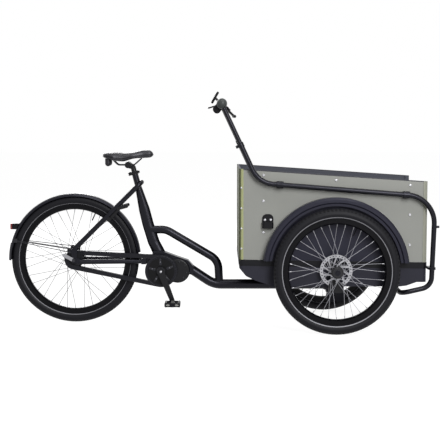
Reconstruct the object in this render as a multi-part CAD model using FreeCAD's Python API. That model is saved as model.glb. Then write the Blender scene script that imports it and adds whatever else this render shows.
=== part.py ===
import FreeCAD, Part
import math
import os

V = FreeCAD.Vector

# Layout in millimetres: X forward from the rear axle, Y to the rider's left, Z up from the ground
wheelbase = 1318.5
full_turn = 360.0               # degrees
overrun = 20.0                  # how far a cutter passes the piece it cuts
seat_gap = 0.3                  # room between pieces that only rest near each other
run_fit = 0.05                  # radial clearance of running and sliding fits

# Wheels
rear_tyre_r = 329.5
rear_tyre_w = 50.0
front_tyre_r = 309.5
front_tyre_w = 54.0
tyre_wall = 4.0
bead_angle = 140.0              # degrees from the tread to the edge of the tyre section
rim_lip = 0.5                   # rim flange outside the edge of the tyre
rim_wall = 3.0
rim_bed_half_w = 8.0
rim_depth = 28.0
rim_slope = 6.0
spoke_r = 1.0
spoke_pairs = 18                # spokes on each flange
spoke_crosses = 3
spoke_lift = 2.4                # spokes stand this far either side of their flange's middle
spoke_start = 1.2
rim_spoke_y = 3.0
flange_t = 3.0
valve_r = 3.0
valve_length = 40.0
valve_angle = 66.0

# Rear hub, axle and sprocket
rear_axle_r = 5.0
rear_flange_r = 46.0
rear_flange_y = 30.0
rear_shell_r = 38.0
rear_neck_r = 24.0
rear_hub_right = 38.0
rear_hub_left = 56.0
dropout_half = 67.5             # half the space between the dropouts
dropout_t = 6.0
locknut_r = 11.0
sleeve_r = 15.0
axle_nut_r = 9.5
axle_nut_h = 9.0
nut_sides = 6
axle_tail = 6.0
torque_arm_t = 4.0
torque_arm_r = 9.0
torque_arm_reach = 56.0
torque_arm_angle = 153.0
shift_ring_r = 22.0
shift_ring_t = 9.0
shift_block_l = 46.0
shift_block_w = 24.0
shift_block_angle = 42.0

# Drive
bb_x = 446.0                    # crank axle, forward of the rear axle
bb_z = 271.0
crank_length = 170.0
crank_angle = -68.8
crank_inner = 68.0              # inner face of each crank arm from the middle plane
crank_t = 13.0
crank_boss_r = 18.0
crank_tip_r = 12.0
crank_axle_r = 8.0
chain_pitch = 12.7
chain_line = 46.0
ring_teeth = 36
sprocket_teeth = 19
tooth_rise = 3.5
tooth_t = 2.0
tooth_tip_share = 0.32
ring_boss_r = 22.0
ring_window_r = 9.0
ring_windows = 5
sprocket_boss_r = 21.0
sprocket_boss_half = 4.0
plate_half_h = 4.25
plate_inner = 1.6
plate_t = 1.1
roller_r = 3.9
roller_clear = 3                # pitches left free of rollers beside each toothed wheel
cover_half_w = 11.2
cover_wall = 3.0
cover_rear_r = 50.0
cover_front_r = 83.0
cover_rear_hole_r = 26.0
cover_front_hole_r = 62.0
cover_slot_half = 3.0
cover_eye_r = 25.0              # hole for the chainring's boss in the round outer plate
cover_bead_r = 72.0
cover_bead_w = 4.0
cover_bead_h = 1.5
pedal_l = 80.0
pedal_w = 90.0
pedal_h = 22.0
pedal_gap = 6.0
pedal_rail = 12.0
pedal_core_r = 10.0
pedal_spindle_r = 5.0
pedal_edge = 6.0
left_pedal_turn = 74.0           # degrees from level, pedals turn freely

# Rear frame
seat_top_x = 307.0
seat_top_z = 784.0
seat_angle = 75.5
seat_tube_r = 16.0
seat_tube_runs = (0.0, 74.5, 204.5, 282.5, 380.5, 454.5)
seat_tube_deep_shares = (1.0, 1.0, 1.76, 1.86, 1.93, 2.05)
seat_tube_bow_shares = (0.0, 0.0, 0.0, -0.05, 0.25, 1.25)   # middle of each section, forward of the axis
seat_tube_wide_shares = (1.0, 1.0, 1.06, 1.12, 1.25, 1.35)
seat_bore_depth = 249.5
top_tube_r = 21.0
top_tube_wall = 2.2
top_tube_z = 481.0
top_tube_knee_x = 471.0
top_tube_elbow_share = 0.577    # along the space between motor cradle and box
top_tube_elbow_z = 322.0
top_tube_foot_share = 0.605
top_tube_knee_bend = 95.0
top_tube_elbow_bend = 80.0
main_tube_r = 25.0
main_tube_wall = 3.0
main_tube_z = 197.0
main_tube_start = 65.0          # forward of the motor's middle
main_tube_rear_z = 277.5
main_tube_bend_share = 0.488
main_tube_bend = 130.0
head_r = 33.0
head_half_h = 27.0
kingpin_r = 15.0
kingpin_nut_r = 21.0
kingpin_nut_h = 12.0
stay_r = 12.5
stay_wall = 2.0
stay_foot_x = 4.0
stay_foot_z = 388.0
stay_foot_y = 68.0
stay_loop_x = 323.0
stay_loop_z = 705.0
stay_loop_half = 30.5
chain_stay_z = 321.0
chain_stay_x = 30.0
yoke_x = 344.0
yoke_l = 24.0
yoke_half_w = 54.0
yoke_h = 30.0
yoke_stay_y = 40.0
dropout_tab_r = 14.0
dropout_eye_x = -20.0
dropout_eye_z = 388.0
motor_x = 531.0
motor_z = 270.0
motor_r = 63.0
motor_boss_r = 48.0
motor_right = 38.0
motor_left = 58.0
motor_edge = 9.0
cradle_half_w = 30.0
cradle_rise = 103.0
cradle_back = 58.0
cradle_shoulder_share = 0.35
cradle_skin = 13.0
cradle_brow_angle = 45.0
cradle_nose = 82.0
cradle_nose_h = 44.0

# Saddle group
post_r = 13.6
post_below = 229.5
post_top_drop = 11.0            # top of the post under the saddle clamp
post_head_r = 12.0
post_head_half = 13.0
clamp_setback = 30.0            # saddle clamp behind the top of the seat tube
clamp_drop = 34.0               # saddle clamp under the saddle base
clamp_r = 16.5
clamp_half = 34.0
saddle_setback = 130.0          # saddle tail behind the clamp
saddle_l = 259.0
saddle_half_w = 82.0
saddle_rise = 66.0              # saddle base over the top of the seat tube
saddle_crown = 45.0
saddle_along_shares = (0.0, 0.06, 0.22, 0.42, 0.6, 0.78, 0.93, 1.0)
saddle_wide_shares = (0.55, 0.84, 1.0, 0.76, 0.45, 0.3, 0.26, 0.15)
saddle_top_shares = (0.45, 0.71, 0.75, 0.64, 0.68, 0.91, 0.9, 0.55)
saddle_low_shares = (0.12, 0.05, -0.3, -0.42, -0.1, 0.0, 0.06, 0.2)
saddle_shoulder_share = 0.62
saddle_tuck_share = 0.86
saddle_belly_share = 0.4
saddle_hollow_share = 0.72      # room for the rails between the side skirts
saddle_hollow_drop = 60.0
rail_wire_r = 3.5
rail_wire_y = 21.0
rail_wire_rear = 85.0           # rail ends and bends, behind and ahead of the clamp
rail_wire_low_rear = 51.0
rail_wire_low_front = 31.0
rail_wire_front = 69.0
rail_wire_bend = 22.0
bumper_r = 15.0
bumper_behind = 101.0
bumper_y = 38.0
bumper_drop = 40.0
collar_r = 20.5
collar_h = 18.0
collar_lug_l = 14.0
collar_lug_half = 13.0
collar_pin_r = 3.0
seat_lever_l = 56.0
seat_lever_t = 6.0
seat_lever_w = 11.0
seat_lever_gap = 13.0

# Rear mudguard, light and rim brake
guard_r = 339.9
guard_wall = 2.0
guard_half_w = 29.5
guard_crown_half = 14.0
guard_drop = 13.0
guard_shoulder_drop = 4.0
guard_shoulder_half = 23.0
guard_front_angle = 6.0
guard_rear_angle = 169.0
flap_wall = 2.5
flap_top_angle = 165.5
flap_end_angle = 181.0
guard_wire_r = 2.0
guard_wire_drop = 16.0
guard_wire_out = 4.6
guard_eye_r = 5.0
guard_clip_angle = 162.0
guard_clip_l = 14.0
guard_clip_t = 4.5
light_x = 323.0
light_z = 499.0
light_body_l = 34.0
light_half_h = 15.0
light_half_w = 22.0
lens_t = 9.0
brake_angle = 49.5
brake_pad_l = 50.0
brake_pad_h = 10.0
brake_pad_t = 5.0
brake_pad_gap = 2.2
brake_piston_r = 8.0
brake_piston_l = 12.0
brake_cylinder_r = 12.0
brake_cylinder_start = 25.0
brake_cylinder_l = 34.0
brake_bracket_t = 12.0
brake_bracket_r = 11.0
brake_bracket_reach = 75.0
brake_bracket_angle = 49.0
brake_lever_l = 44.0
brake_lever_r = 9.0
brake_lever_t = 10.0
brake_lever_angle = 15.0

# Cargo box
box_behind_share = 0.35988      # box rear face behind the front axle, as a share of the wheelbase
box_ahead = 449.5               # box front face ahead of the front axle
box_half_w = 308.0
wheel_side_gap = 78.0           # wheel plane outside the box side
box_corner_r = 18.0
panel_t = 8.0
front_panel_drop = 35.0         # top of the front panel under the side panels
rim_rear_z = 808.5
rim_front_z = 747.0
seam_rear_z = 361.0
seam_front_z = 347.0
tub_bottom_z = 227.0
tub_wall = 4.0
tub_rear_z = 318.0
tub_rear_runs = (34.0, 79.0, 169.0)
tub_rear_drops = (40.0, 61.0)
tub_front_runs = (130.0, 98.0, 48.0)
tub_front_rises = (4.0, 22.0)
trim_t = 3.0
trim_rear_h = 25.0
trim_front_h = 30.0
post_leg_share = 0.215          # corner post legs, of the board left beside the wheel arch
post_t = 2.0
floor_t = 8.0
floor_corner = 24.0
floor_side_gap = 8.5
bolt_r = 6.5
bolt_h = 3.2
bolt_drop = 24.0
bolt_rear_share = 0.788         # bolt columns, across the room between corner post and wheel arch
bolt_front_share = 0.222
bolt_rear_row_shares = (0.66, 0.31)
bolt_front_row_shares = (0.58, 0.21)
arch_r = 360.0
arch_reach = 58.0
arch_wall = 3.0
arch_ridge_r = 337.0
arch_ridge_in = 6.0
arch_inner_r = 319.0
arch_lip = 14.0
arch_edge = 10.0
arch_back_t = 3.0
tent_w = 55.0
tent_h = 68.0
tent_share = 0.8727             # across the room between corner post and wheel arch
tent_z = 552.0
tent_t = 6.0
tent_edge = 22.0
tent_shelf_h = 30.0
tent_shelf_out = 22.0
tent_bore_r = 5.2
tent_bolt_half = 14.0
tent_bolt_r = 6.0
tent_bolt_rise = 6.0

# Chassis inside the tub
beam_half = 22.0
beam_end_gap = 2.0
chassis_rail_share = 0.487      # chassis rails across the half width of the box
chassis_rail_w = 30.0
chassis_rail_inset = 8.0
chassis_wall = 4.0
carrier_r = 37.0
foot_behind = 16.0              # housing under the steering pivot, from its axis
foot_ahead = 80.0
foot_half_w = 30.0
foot_h = 50.0
foot_edge = 12.0
stub_r = 10.0
stub_root = 60.0
stub_shoulder_r = 17.0
front_hub_outer = 38.0          # hub shell, outer end from the wheel plane
front_flange_r = 30.0
front_flange_y = 26.0
front_shell_r = 19.0
front_cap_r = 26.0
front_cap_t = 7.0
stub_nut_r = 14.0
stub_nut_h = 8.0
rotor_r = 80.0
rotor_t = 2.0
rotor_track = 15.0
rotor_offset = 40.0             # rotor plane, inboard of the wheel plane
rotor_arms = 10
rotor_arm_w = 7.0
rotor_arm_lean = 20.0           # arms pass this far from the axle
rotor_centre_r = 29.0
caliper_l = 72.0
caliper_h = 48.0
caliper_drop = 84.0
caliper_half_t = 12.0
caliper_slot_half = 3.0
caliper_edge = 6.0
caliper_bracket_t = 8.0
caliper_bracket_r = 24.0

# Side rails, bumper and handlebar
rail_gap = 26.0                 # rail axis outside the box side
rail_r = 12.5
bar_r = 11.0                    # handlebar tube, which slides in the rail
sleeve_ahead = 2.6              # rail top end, forward of the box rear face
sleeve_z = 936.0
sleeve_angle = 65.0
sleeve_drop = 216.3
rail_top_bend = 125.0
rail_nose_ahead = 35.0          # forward of the box front face
rail_nose_z = 671.0
rail_nose_bend = 140.0
rail_chin_ahead = 20.0
rail_chin_z = 230.0
rail_chin_bend = 58.0
rail_end_behind = 128.0         # behind the box front face
rail_end_z = 196.0
rail_end_bend = 45.0
stop_r = 6.0                    # bumper stops on the front of the rails
stop_z = 525.0
stop_l = 12.5
clip_t = 5.0
clip_w = 32.0
clip_foot = 18.0
clip_rear_share = 0.06
clip_front_share = 0.775
clip_low_z = 320.0
clip_low_w = 12.0
clamp_collar_t = 2.0
clamp_collar_h = 24.0
clamp_knob_r = 7.5
clamp_knob_l = 14.0
leg_above = 210.0
leg_insert = 105.0
corner_r = 26.0
corner_leg_gap = 13.0
grip_l = 128.0
grip_r = 17.0
grip_gap = 3.0
wing_reach = 36.0
wing_r = 20.0
wing_angle = 228.0
wing_l_share = 0.72
lever_drop_angle = 44.0
lever_gap = 14.0                # between a lever's clamp and the grip
lever_clamp_w = 22.0
lever_clamp_t = 5.0
lever_pivot = 46.0
lever_pin_r = 3.0
lever_knuckle_r = 7.5
lever_knuckle_half = 6.0
lever_ear_t = 4.0
lever_ear_gap = 0.4
lever_cylinder_r = 12.0
lever_cylinder_l = 52.0
lever_cylinder_out = 34.0
lever_blade_r = 5.0
lever_blade_out = 43.0
lever_blade_run = 22.0
lever_blade_l = 112.0
lever_blade_bend = 18.0
lever_ball_r = 7.5
display_l = 67.0
display_t = 12.0
display_w = 62.0
display_angle = 60.0
display_back = 34.0
display_up = 34.0
display_clamp_t = 4.5
display_clamp_w = 20.0
display_arm_r = 6.0
display_edge = 4.0
rocker_back = 67.0              # thumb rocker beside the display, from the bar
rocker_drop = 19.0
rocker_r = 4.0

# Values worked out from the sizes above
pivot_x = wheelbase
box_rear_x = wheelbase * (1 - box_behind_share)
box_front_x = wheelbase + box_ahead
front_track_half = box_half_w + wheel_side_gap
rail_y = box_half_w + rail_gap
chassis_rail_y = box_half_w * chassis_rail_share
sleeve_x = box_rear_x + sleeve_ahead
rail_nose_x = box_front_x + rail_nose_ahead
rail_chin_x = box_front_x + rail_chin_ahead
rail_end_x = box_front_x - rail_end_behind
clamp_x = seat_top_x - clamp_setback
saddle_base_z = seat_top_z + saddle_rise
clamp_z = saddle_base_z - clamp_drop
saddle_tail_x = clamp_x - saddle_setback
bumper_x = clamp_x - bumper_behind
main_tube_rear_x = motor_x + main_tube_start
link_run = box_rear_x - main_tube_rear_x
main_tube_bend_x = main_tube_rear_x + link_run * main_tube_bend_share
top_tube_elbow_x = main_tube_rear_x + link_run * top_tube_elbow_share
top_tube_foot_x = main_tube_rear_x + link_run * top_tube_foot_share
lever_y = rail_y - corner_r - grip_gap - grip_l - lever_gap - lever_clamp_w / 2
beam_z = front_tyre_r
floor_z = beam_z + beam_half
flap_outer_r = guard_r + seat_gap + flap_wall
rear_reach = flap_outer_r
head_top_z = main_tube_z + head_half_h
head_bottom_z = main_tube_z - head_half_h
seat_up = V(-math.cos(math.radians(seat_angle)), 0, math.sin(math.radians(seat_angle)))
sleeve_up = V(-math.cos(math.radians(sleeve_angle)), 0, math.sin(math.radians(sleeve_angle)))
rail_bore_r = bar_r + run_fit
rail_run_x = sleeve_x - sleeve_drop * sleeve_up.x
rail_run_z = sleeve_z - sleeve_drop * sleeve_up.z
bar_x = sleeve_x + leg_above * sleeve_up.x
bar_z = sleeve_z + leg_above * sleeve_up.z
ring_pitch_r = chain_pitch / (2 * math.sin(math.pi / ring_teeth))
sprocket_pitch_r = chain_pitch / (2 * math.sin(math.pi / sprocket_teeth))
rotor_y = front_track_half - rotor_offset


# Half the width of the wheel arch at a height
def arch_half(z):
    return math.sqrt(arch_r ** 2 - (z - front_tyre_r) ** 2)


post_leg = (box_ahead - arch_half(seam_rear_z)) * post_leg_share


def rail_front_x(z):
    share = (z - rail_chin_z) / (rail_nose_z - rail_chin_z)
    return rail_chin_x + (rail_nose_x - rail_chin_x) * share


front_reach = rail_front_x(stop_z) + rail_r + stop_l
middle_x = (front_reach - rear_reach) / 2


def rod(start, end, radius):
    axis = end - start
    return Part.makeCylinder(radius, axis.Length, start, axis)


def pipe(start, end, radius, wall):
    return rod(start, end, radius).cut(rod(start, end, radius - wall))


def disc(x, z, y0, y1, radius):
    return rod(V(x, y0, z), V(x, y1, z), radius)


def ring(x, z, y0, y1, outer, inner):
    return disc(x, z, y0, y1, outer).cut(disc(x, z, y0, y1, inner))


def block(x0, x1, y0, y1, z0, z1):
    return Part.makeBox(x1 - x0, y1 - y0, z1 - z0, V(x0, y0, z0))


def plate(points, y0, y1):
    corners = [V(x, y0, z) for x, z in points]
    face = Part.Face(Part.makePolygon(corners + corners[:1]))
    return face.extrude(V(0, y1 - y0, 0))


def mirrored(shape):
    return shape.mirror(V(0, 0, 0), V(0, 1, 0))


def group(*shapes):
    return Part.makeCompound([solid for shape in shapes for solid in shape.Solids])


def both(shape):
    return group(shape, mirrored(shape))


def joined(*shapes):
    return shapes[0].multiFuse(list(shapes[1:])).removeSplitter()


def polar(x, z, radius, angle):
    turn = math.radians(angle)
    return x + radius * math.cos(turn), z + radius * math.sin(turn)


# A path of straight runs joined by tangent arcs, one radius for each inner point
def bent_path(points, radii):
    edges = []
    start = points[0]
    for before, corner, after, radius in zip(points, points[1:], points[2:], radii):
        back = (before - corner).normalize()
        ahead = (after - corner).normalize()
        half = back.getAngle(ahead) / 2
        first = corner + back * (radius / math.tan(half))
        last = corner + ahead * (radius / math.tan(half))
        middle = corner + (back + ahead).normalize() * (radius / math.sin(half) - radius)
        edges.append(Part.LineSegment(start, first).toShape())
        edges.append(Part.Arc(first, middle, last).toShape())
        start = last
    edges.append(Part.LineSegment(start, points[-1]).toShape())
    return Part.Wire(edges)


def swept(points, radii, radius):
    start = points[0]
    circle = Part.Wire(Part.makeCircle(radius, start, points[1] - start))
    return Part.Solid(bent_path(points, radii).makePipe(Part.Face(circle)))


def tube(points, radii, outer, inner):
    return swept(points, radii, outer).cut(swept(points, radii, inner))


# The band that a belt round two circles would enclose, as a face in an X-Z plane
def belt_face(y, x1, z1, r1, x2, z2, r2):
    lean = math.atan2(z2 - z1, x2 - x1)
    spread = math.acos((r1 - r2) / math.hypot(x2 - x1, z2 - z1))

    def spot(x, z, radius, turn):
        return V(x + radius * math.cos(turn), y, z + radius * math.sin(turn))

    top1 = spot(x1, z1, r1, lean + spread)
    top2 = spot(x2, z2, r2, lean + spread)
    low1 = spot(x1, z1, r1, lean - spread)
    low2 = spot(x2, z2, r2, lean - spread)
    edges = [
        Part.Arc(low1, spot(x1, z1, r1, lean + math.pi), top1).toShape(),
        Part.LineSegment(top1, top2).toShape(),
        Part.Arc(top2, spot(x2, z2, r2, lean), low2).toShape(),
        Part.LineSegment(low2, low1).toShape(),
    ]
    return Part.Face(Part.Wire(edges))


def belt(y0, y1, x1, z1, r1, x2, z2, r2):
    return belt_face(y0, x1, z1, r1, x2, z2, r2).extrude(V(0, y1 - y0, 0))


# A section of (radius, y) points turned about a wheel axis, from one angle to another
def turned(x, z, points, start=0.0, end=full_turn):
    corners = [V(x + radius, y, z) for radius, y in points]
    face = Part.Face(Part.makePolygon(corners + corners[:1]))
    solid = face.revolve(V(x, 0, z), V(0, -1, 0), end - start)
    solid.rotate(V(x, 0, z), V(0, -1, 0), start)
    return solid


# A toothed wheel: each tooth is a trapezium between the root and the tip circle
def toothed(x, z, y, pitch_r, teeth):
    step = full_turn / teeth
    outline = []
    for tooth in range(teeth):
        for share, radius in ((-0.5, pitch_r - tooth_rise), (-tooth_tip_share / 2, pitch_r + tooth_rise),
                              (tooth_tip_share / 2, pitch_r + tooth_rise)):
            outline.append(polar(x, z, radius, (tooth + share) * step))
    return plate(outline, y - tooth_t / 2, y + tooth_t / 2)


def tyre(x, y, z, outer_r, width):
    outer = width / 2
    inner = outer - tyre_wall
    middle_r = outer_r - outer
    turn = math.radians(bead_angle)

    def spot(radius, angle):
        return V(x + middle_r + radius * math.cos(angle), y + radius * math.sin(angle), z)

    edges = [
        Part.Arc(spot(outer, -turn), spot(outer, 0), spot(outer, turn)).toShape(),
        Part.LineSegment(spot(outer, turn), spot(inner, turn)).toShape(),
        Part.Arc(spot(inner, turn), spot(inner, 0), spot(inner, -turn)).toShape(),
        Part.LineSegment(spot(inner, -turn), spot(outer, -turn)).toShape(),
    ]
    return Part.Face(Part.Wire(edges)).revolve(V(x, 0, z), V(0, 1, 0), full_turn)


def rim_top(outer_r, width):
    return outer_r - width / 2 + width / 2 * math.cos(math.radians(bead_angle))


def rim_half(width):
    return width / 2 * math.sin(math.radians(bead_angle)) + rim_lip


def rim_inner(outer_r, width):
    return rim_top(outer_r, width) - rim_depth


def rim(x, y, z, outer_r, width):
    top = rim_top(outer_r, width)
    bed = rim_inner(outer_r, width)
    outer_half = rim_half(width)
    inner_half = outer_half - rim_wall
    half = [(bed, rim_bed_half_w), (bed + rim_slope, outer_half), (top, outer_half), (top, inner_half),
            (bed + rim_slope + rim_wall / 2, inner_half), (bed + rim_wall, rim_bed_half_w)]
    outline = [(r, y + w) for r, w in half] + [(r, y - w) for r, w in reversed(half)]
    hoop = turned(x, z, outline)
    vx, vz = polar(x, z, bed - valve_length, valve_angle)
    ex, ez = polar(x, z, bed + rim_wall / 2, valve_angle)
    return joined(hoop, rod(V(vx, y, vz), V(ex, y, ez), valve_r))


def spokes(x, y, z, flange_r, flange_y, rim_r):
    step = full_turn / spoke_pairs
    wires = []
    for side, turn_share in ((1, 0.0), (-1, 0.5)):
        for index in range(spoke_pairs):
            lean = 1 if index % 2 == 0 else -1
            rim_angle = (index + turn_share) * step
            hub_angle = rim_angle + lean * spoke_crosses * step
            hub_x, hub_z = polar(x, z, flange_r + spoke_start, hub_angle)
            rim_x, rim_z = polar(x, z, rim_r - seat_gap, rim_angle)
            hub_end = V(hub_x, y + side * flange_y + lean * spoke_lift, hub_z)
            rim_end = V(rim_x, y + side * rim_spoke_y + lean * spoke_r, rim_z)
            wires.append(rod(hub_end, rim_end, spoke_r))
    return group(*wires)


def rear_wheel():
    inner = rim_inner(rear_tyre_r, rear_tyre_w)
    bore = rear_axle_r + run_fit
    half_flange = flange_t / 2
    outline = [(bore, -rear_hub_right), (rear_neck_r, -rear_hub_right),
               (rear_neck_r, -rear_flange_y - half_flange), (rear_flange_r, -rear_flange_y - half_flange),
               (rear_flange_r, half_flange - rear_flange_y), (rear_shell_r, half_flange - rear_flange_y),
               (rear_shell_r, rear_flange_y - half_flange), (rear_flange_r, rear_flange_y - half_flange),
               (rear_flange_r, rear_flange_y + half_flange), (rear_neck_r, rear_flange_y + half_flange),
               (rear_neck_r, rear_hub_left), (bore, rear_hub_left)]
    return {
        "rear_tyre": tyre(0, 0, rear_tyre_r, rear_tyre_r, rear_tyre_w),
        "rear_rim": rim(0, 0, rear_tyre_r, rear_tyre_r, rear_tyre_w),
        "rear_spokes": spokes(0, 0, rear_tyre_r, rear_flange_r, rear_flange_y, inner),
        "rear_hub": turned(0, rear_tyre_r, outline),
    }


def brake_rotor():
    x, z = wheelbase, front_tyre_r
    y0, y1 = rotor_y - rotor_t / 2, rotor_y + rotor_t / 2
    track = ring(x, z, y0, y1, rotor_r, rotor_r - rotor_track)
    centre = disc(x, z, y0, y1, rotor_centre_r)
    arm_l = math.sqrt((rotor_r - rotor_track / 2) ** 2 - rotor_arm_lean ** 2)
    arms = []
    for index in range(rotor_arms):
        low = z + rotor_arm_lean - rotor_arm_w / 2
        arm = block(x, x + arm_l, y0, y1, low, low + rotor_arm_w)
        arm.rotate(V(x, 0, z), V(0, 1, 0), index * full_turn / rotor_arms)
        arms.append(arm)
    bore = disc(x, z, y0 - overrun, y1 + overrun, front_shell_r)
    return joined(track, centre, *arms).cut(bore)


def front_hub():
    bore = stub_r + run_fit
    mid = front_track_half
    half_flange = flange_t / 2
    inner_end = rotor_y - rotor_t / 2
    outline = [(bore, inner_end), (front_shell_r, inner_end),
               (front_shell_r, mid - front_flange_y - half_flange),
               (front_flange_r, mid - front_flange_y - half_flange),
               (front_flange_r, mid - front_flange_y + half_flange),
               (front_shell_r, mid - front_flange_y + half_flange),
               (front_shell_r, mid + front_flange_y - half_flange),
               (front_flange_r, mid + front_flange_y - half_flange),
               (front_flange_r, mid + front_flange_y + half_flange),
               (front_cap_r, mid + front_flange_y + half_flange),
               (front_cap_r, mid + front_hub_outer - front_cap_t / 2),
               (front_cap_r - front_cap_t / 2, mid + front_hub_outer), (bore, mid + front_hub_outer)]
    return turned(wheelbase, front_tyre_r, outline)


def front_wheel():
    x, y, z = wheelbase, front_track_half, front_tyre_r
    inner = rim_inner(front_tyre_r, front_tyre_w)
    return {
        "tyre": tyre(x, y, z, front_tyre_r, front_tyre_w),
        "rim": rim(x, y, z, front_tyre_r, front_tyre_w),
        "spokes": spokes(x, y, z, front_flange_r, front_flange_y, inner),
        "hub": group(front_hub(), brake_rotor()),
    }


def rear_axle():
    z = rear_tyre_r
    right_face = dropout_half + dropout_t + torque_arm_t
    left_face = dropout_half + dropout_t
    tail = axle_nut_h + axle_tail
    spindle = disc(0, z, -right_face - tail, left_face + tail, rear_axle_r)
    sleeve_start = chain_line + sprocket_boss_half + seat_gap
    spindle = joined(
        spindle,
        disc(0, z, -sleeve_start, -rear_hub_right - seat_gap, sleeve_r),
        disc(0, z, -dropout_half, -sleeve_start, locknut_r),
        disc(0, z, rear_hub_left + seat_gap, dropout_half, locknut_r),
    )
    arm_x, arm_z = polar(0, z, torque_arm_reach, torque_arm_angle)
    arm = belt(-right_face, -left_face, 0, z, torque_arm_r, arm_x, arm_z, torque_arm_r)
    arm = arm.cut(disc(0, z, -right_face - overrun, -left_face + overrun, rear_axle_r))
    nuts = []
    for face, out in ((-right_face, -axle_nut_h), (left_face, axle_nut_h)):
        corners = [polar(0, z, axle_nut_r, full_turn / nut_sides * side) for side in range(nut_sides)]
        nut = plate(corners, face, face + out)
        nuts.append(nut.cut(disc(0, z, face - overrun, face + overrun, rear_axle_r)))
    return group(spindle, arm, *nuts)


def shift_unit():
    z = rear_tyre_r
    outer = dropout_half - seat_gap
    inner = outer - shift_ring_t
    bx, bz = polar(0, z, shift_block_l, shift_block_angle)
    body = belt(-outer, -inner, 0, z, shift_ring_r, bx, bz, shift_block_w / 2)
    return body.cut(disc(0, z, -outer - overrun, -inner + overrun, locknut_r))


def sprocket():
    z = rear_tyre_r
    wheel = toothed(0, z, -chain_line, sprocket_pitch_r, sprocket_teeth)
    boss = disc(0, z, -chain_line - sprocket_boss_half, -chain_line + sprocket_boss_half, sprocket_boss_r)
    bore = disc(0, z, -chain_line - overrun, -chain_line + overrun, sleeve_r + run_fit)
    return joined(wheel, boss).cut(bore)


def chainring():
    wheel = toothed(bb_x, bb_z, -chain_line, ring_pitch_r, ring_teeth)
    mid_r = (ring_pitch_r + ring_boss_r) / 2
    for index in range(ring_windows):
        wx, wz = polar(bb_x, bb_z, mid_r, index * full_turn / ring_windows)
        wheel = wheel.cut(disc(wx, wz, -chain_line - overrun, -chain_line + overrun, ring_window_r))
    boss = disc(bb_x, bb_z, -crank_inner, -motor_right - seat_gap, ring_boss_r)
    bore = disc(bb_x, bb_z, -crank_inner - overrun, overrun, crank_axle_r)
    return joined(wheel, boss).cut(bore)


def pedal_spot(side):
    turn = crank_angle if side < 0 else crank_angle + 180
    return polar(bb_x, bb_z, crank_length, turn)


def crank_arms():
    arms = []
    for side in (-1, 1):
        px, pz = pedal_spot(side)
        y0, y1 = side * crank_inner, side * (crank_inner + crank_t)
        arm = belt(y0, y1, bb_x, bb_z, crank_boss_r, px, pz, crank_tip_r)
        far = side * (crank_inner + crank_t + overrun)
        arm = arm.cut(disc(bb_x, bb_z, 0, far, crank_axle_r))
        arms.append(arm.cut(disc(px, pz, 0, far, pedal_spindle_r)))
    return group(*arms)


def crank_axle():
    outer = crank_inner + crank_t
    pieces = [disc(bb_x, bb_z, -outer, outer, crank_axle_r)]
    for side in (-1, 1):
        px, pz = pedal_spot(side)
        reach = outer + pedal_gap + pedal_w - pedal_rail
        pieces.append(disc(px, pz, side * crank_inner, side * reach, pedal_spindle_r))
    return group(*pieces)


def pedal(side):
    px, pz = pedal_spot(side)
    y0 = side * (crank_inner + crank_t + pedal_gap)
    y1 = y0 + side * pedal_w
    low, high = min(y0, y1), max(y0, y1)
    body = block(px - pedal_l / 2, px + pedal_l / 2, low, high, pz - pedal_h / 2, pz + pedal_h / 2)
    body = body.makeFillet(pedal_edge, body.Edges)
    opening_half = (pedal_l / 2 - pedal_rail - pedal_core_r) / 2
    for way in (-1, 1):
        mid = px + way * (pedal_core_r + opening_half)
        window = block(mid - opening_half, mid + opening_half, low + pedal_rail, high - pedal_rail,
                       pz - pedal_h, pz + pedal_h)
        body = body.cut(window)
    bore = disc(px, pz, y0 - side * overrun, y1 - side * pedal_rail, pedal_spindle_r + run_fit)
    body = body.cut(bore)
    if side > 0:
        body.rotate(V(px, 0, pz), V(0, 1, 0), left_pedal_turn)
    return body


def chain():
    z = rear_tyre_r
    rear_r, front_r = sprocket_pitch_r, ring_pitch_r
    bands = []
    for side in (-1, 1):
        y0 = -chain_line + side * plate_inner
        y1 = y0 + side * plate_t
        outer = belt(y0, y1, 0, z, rear_r + plate_half_h, bb_x, bb_z, front_r + plate_half_h)
        inner = belt(y0, y1, 0, z, rear_r - plate_half_h, bb_x, bb_z, front_r - plate_half_h)
        bands.append(outer.cut(inner))
    loop = belt_face(-chain_line, 0, z, rear_r, bb_x, bb_z, front_r)
    run_edges = [edge for edge in loop.Edges if edge.Curve.TypeId == "Part::GeomLine"]
    rollers = []
    half = plate_inner + plate_t / 2
    for edge in run_edges:
        start, end = edge.Vertexes[0].Point, edge.Vertexes[1].Point
        along = (end - start).normalize()
        count = int(edge.Length / chain_pitch - 2 * roller_clear)
        first = (edge.Length - (count - 1) * chain_pitch) / 2
        for index in range(count):
            spot = start + along * (first + index * chain_pitch)
            rollers.append(disc(spot.x, spot.z, -chain_line - half, -chain_line + half, roller_r))
    return joined(*bands, *rollers)


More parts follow.
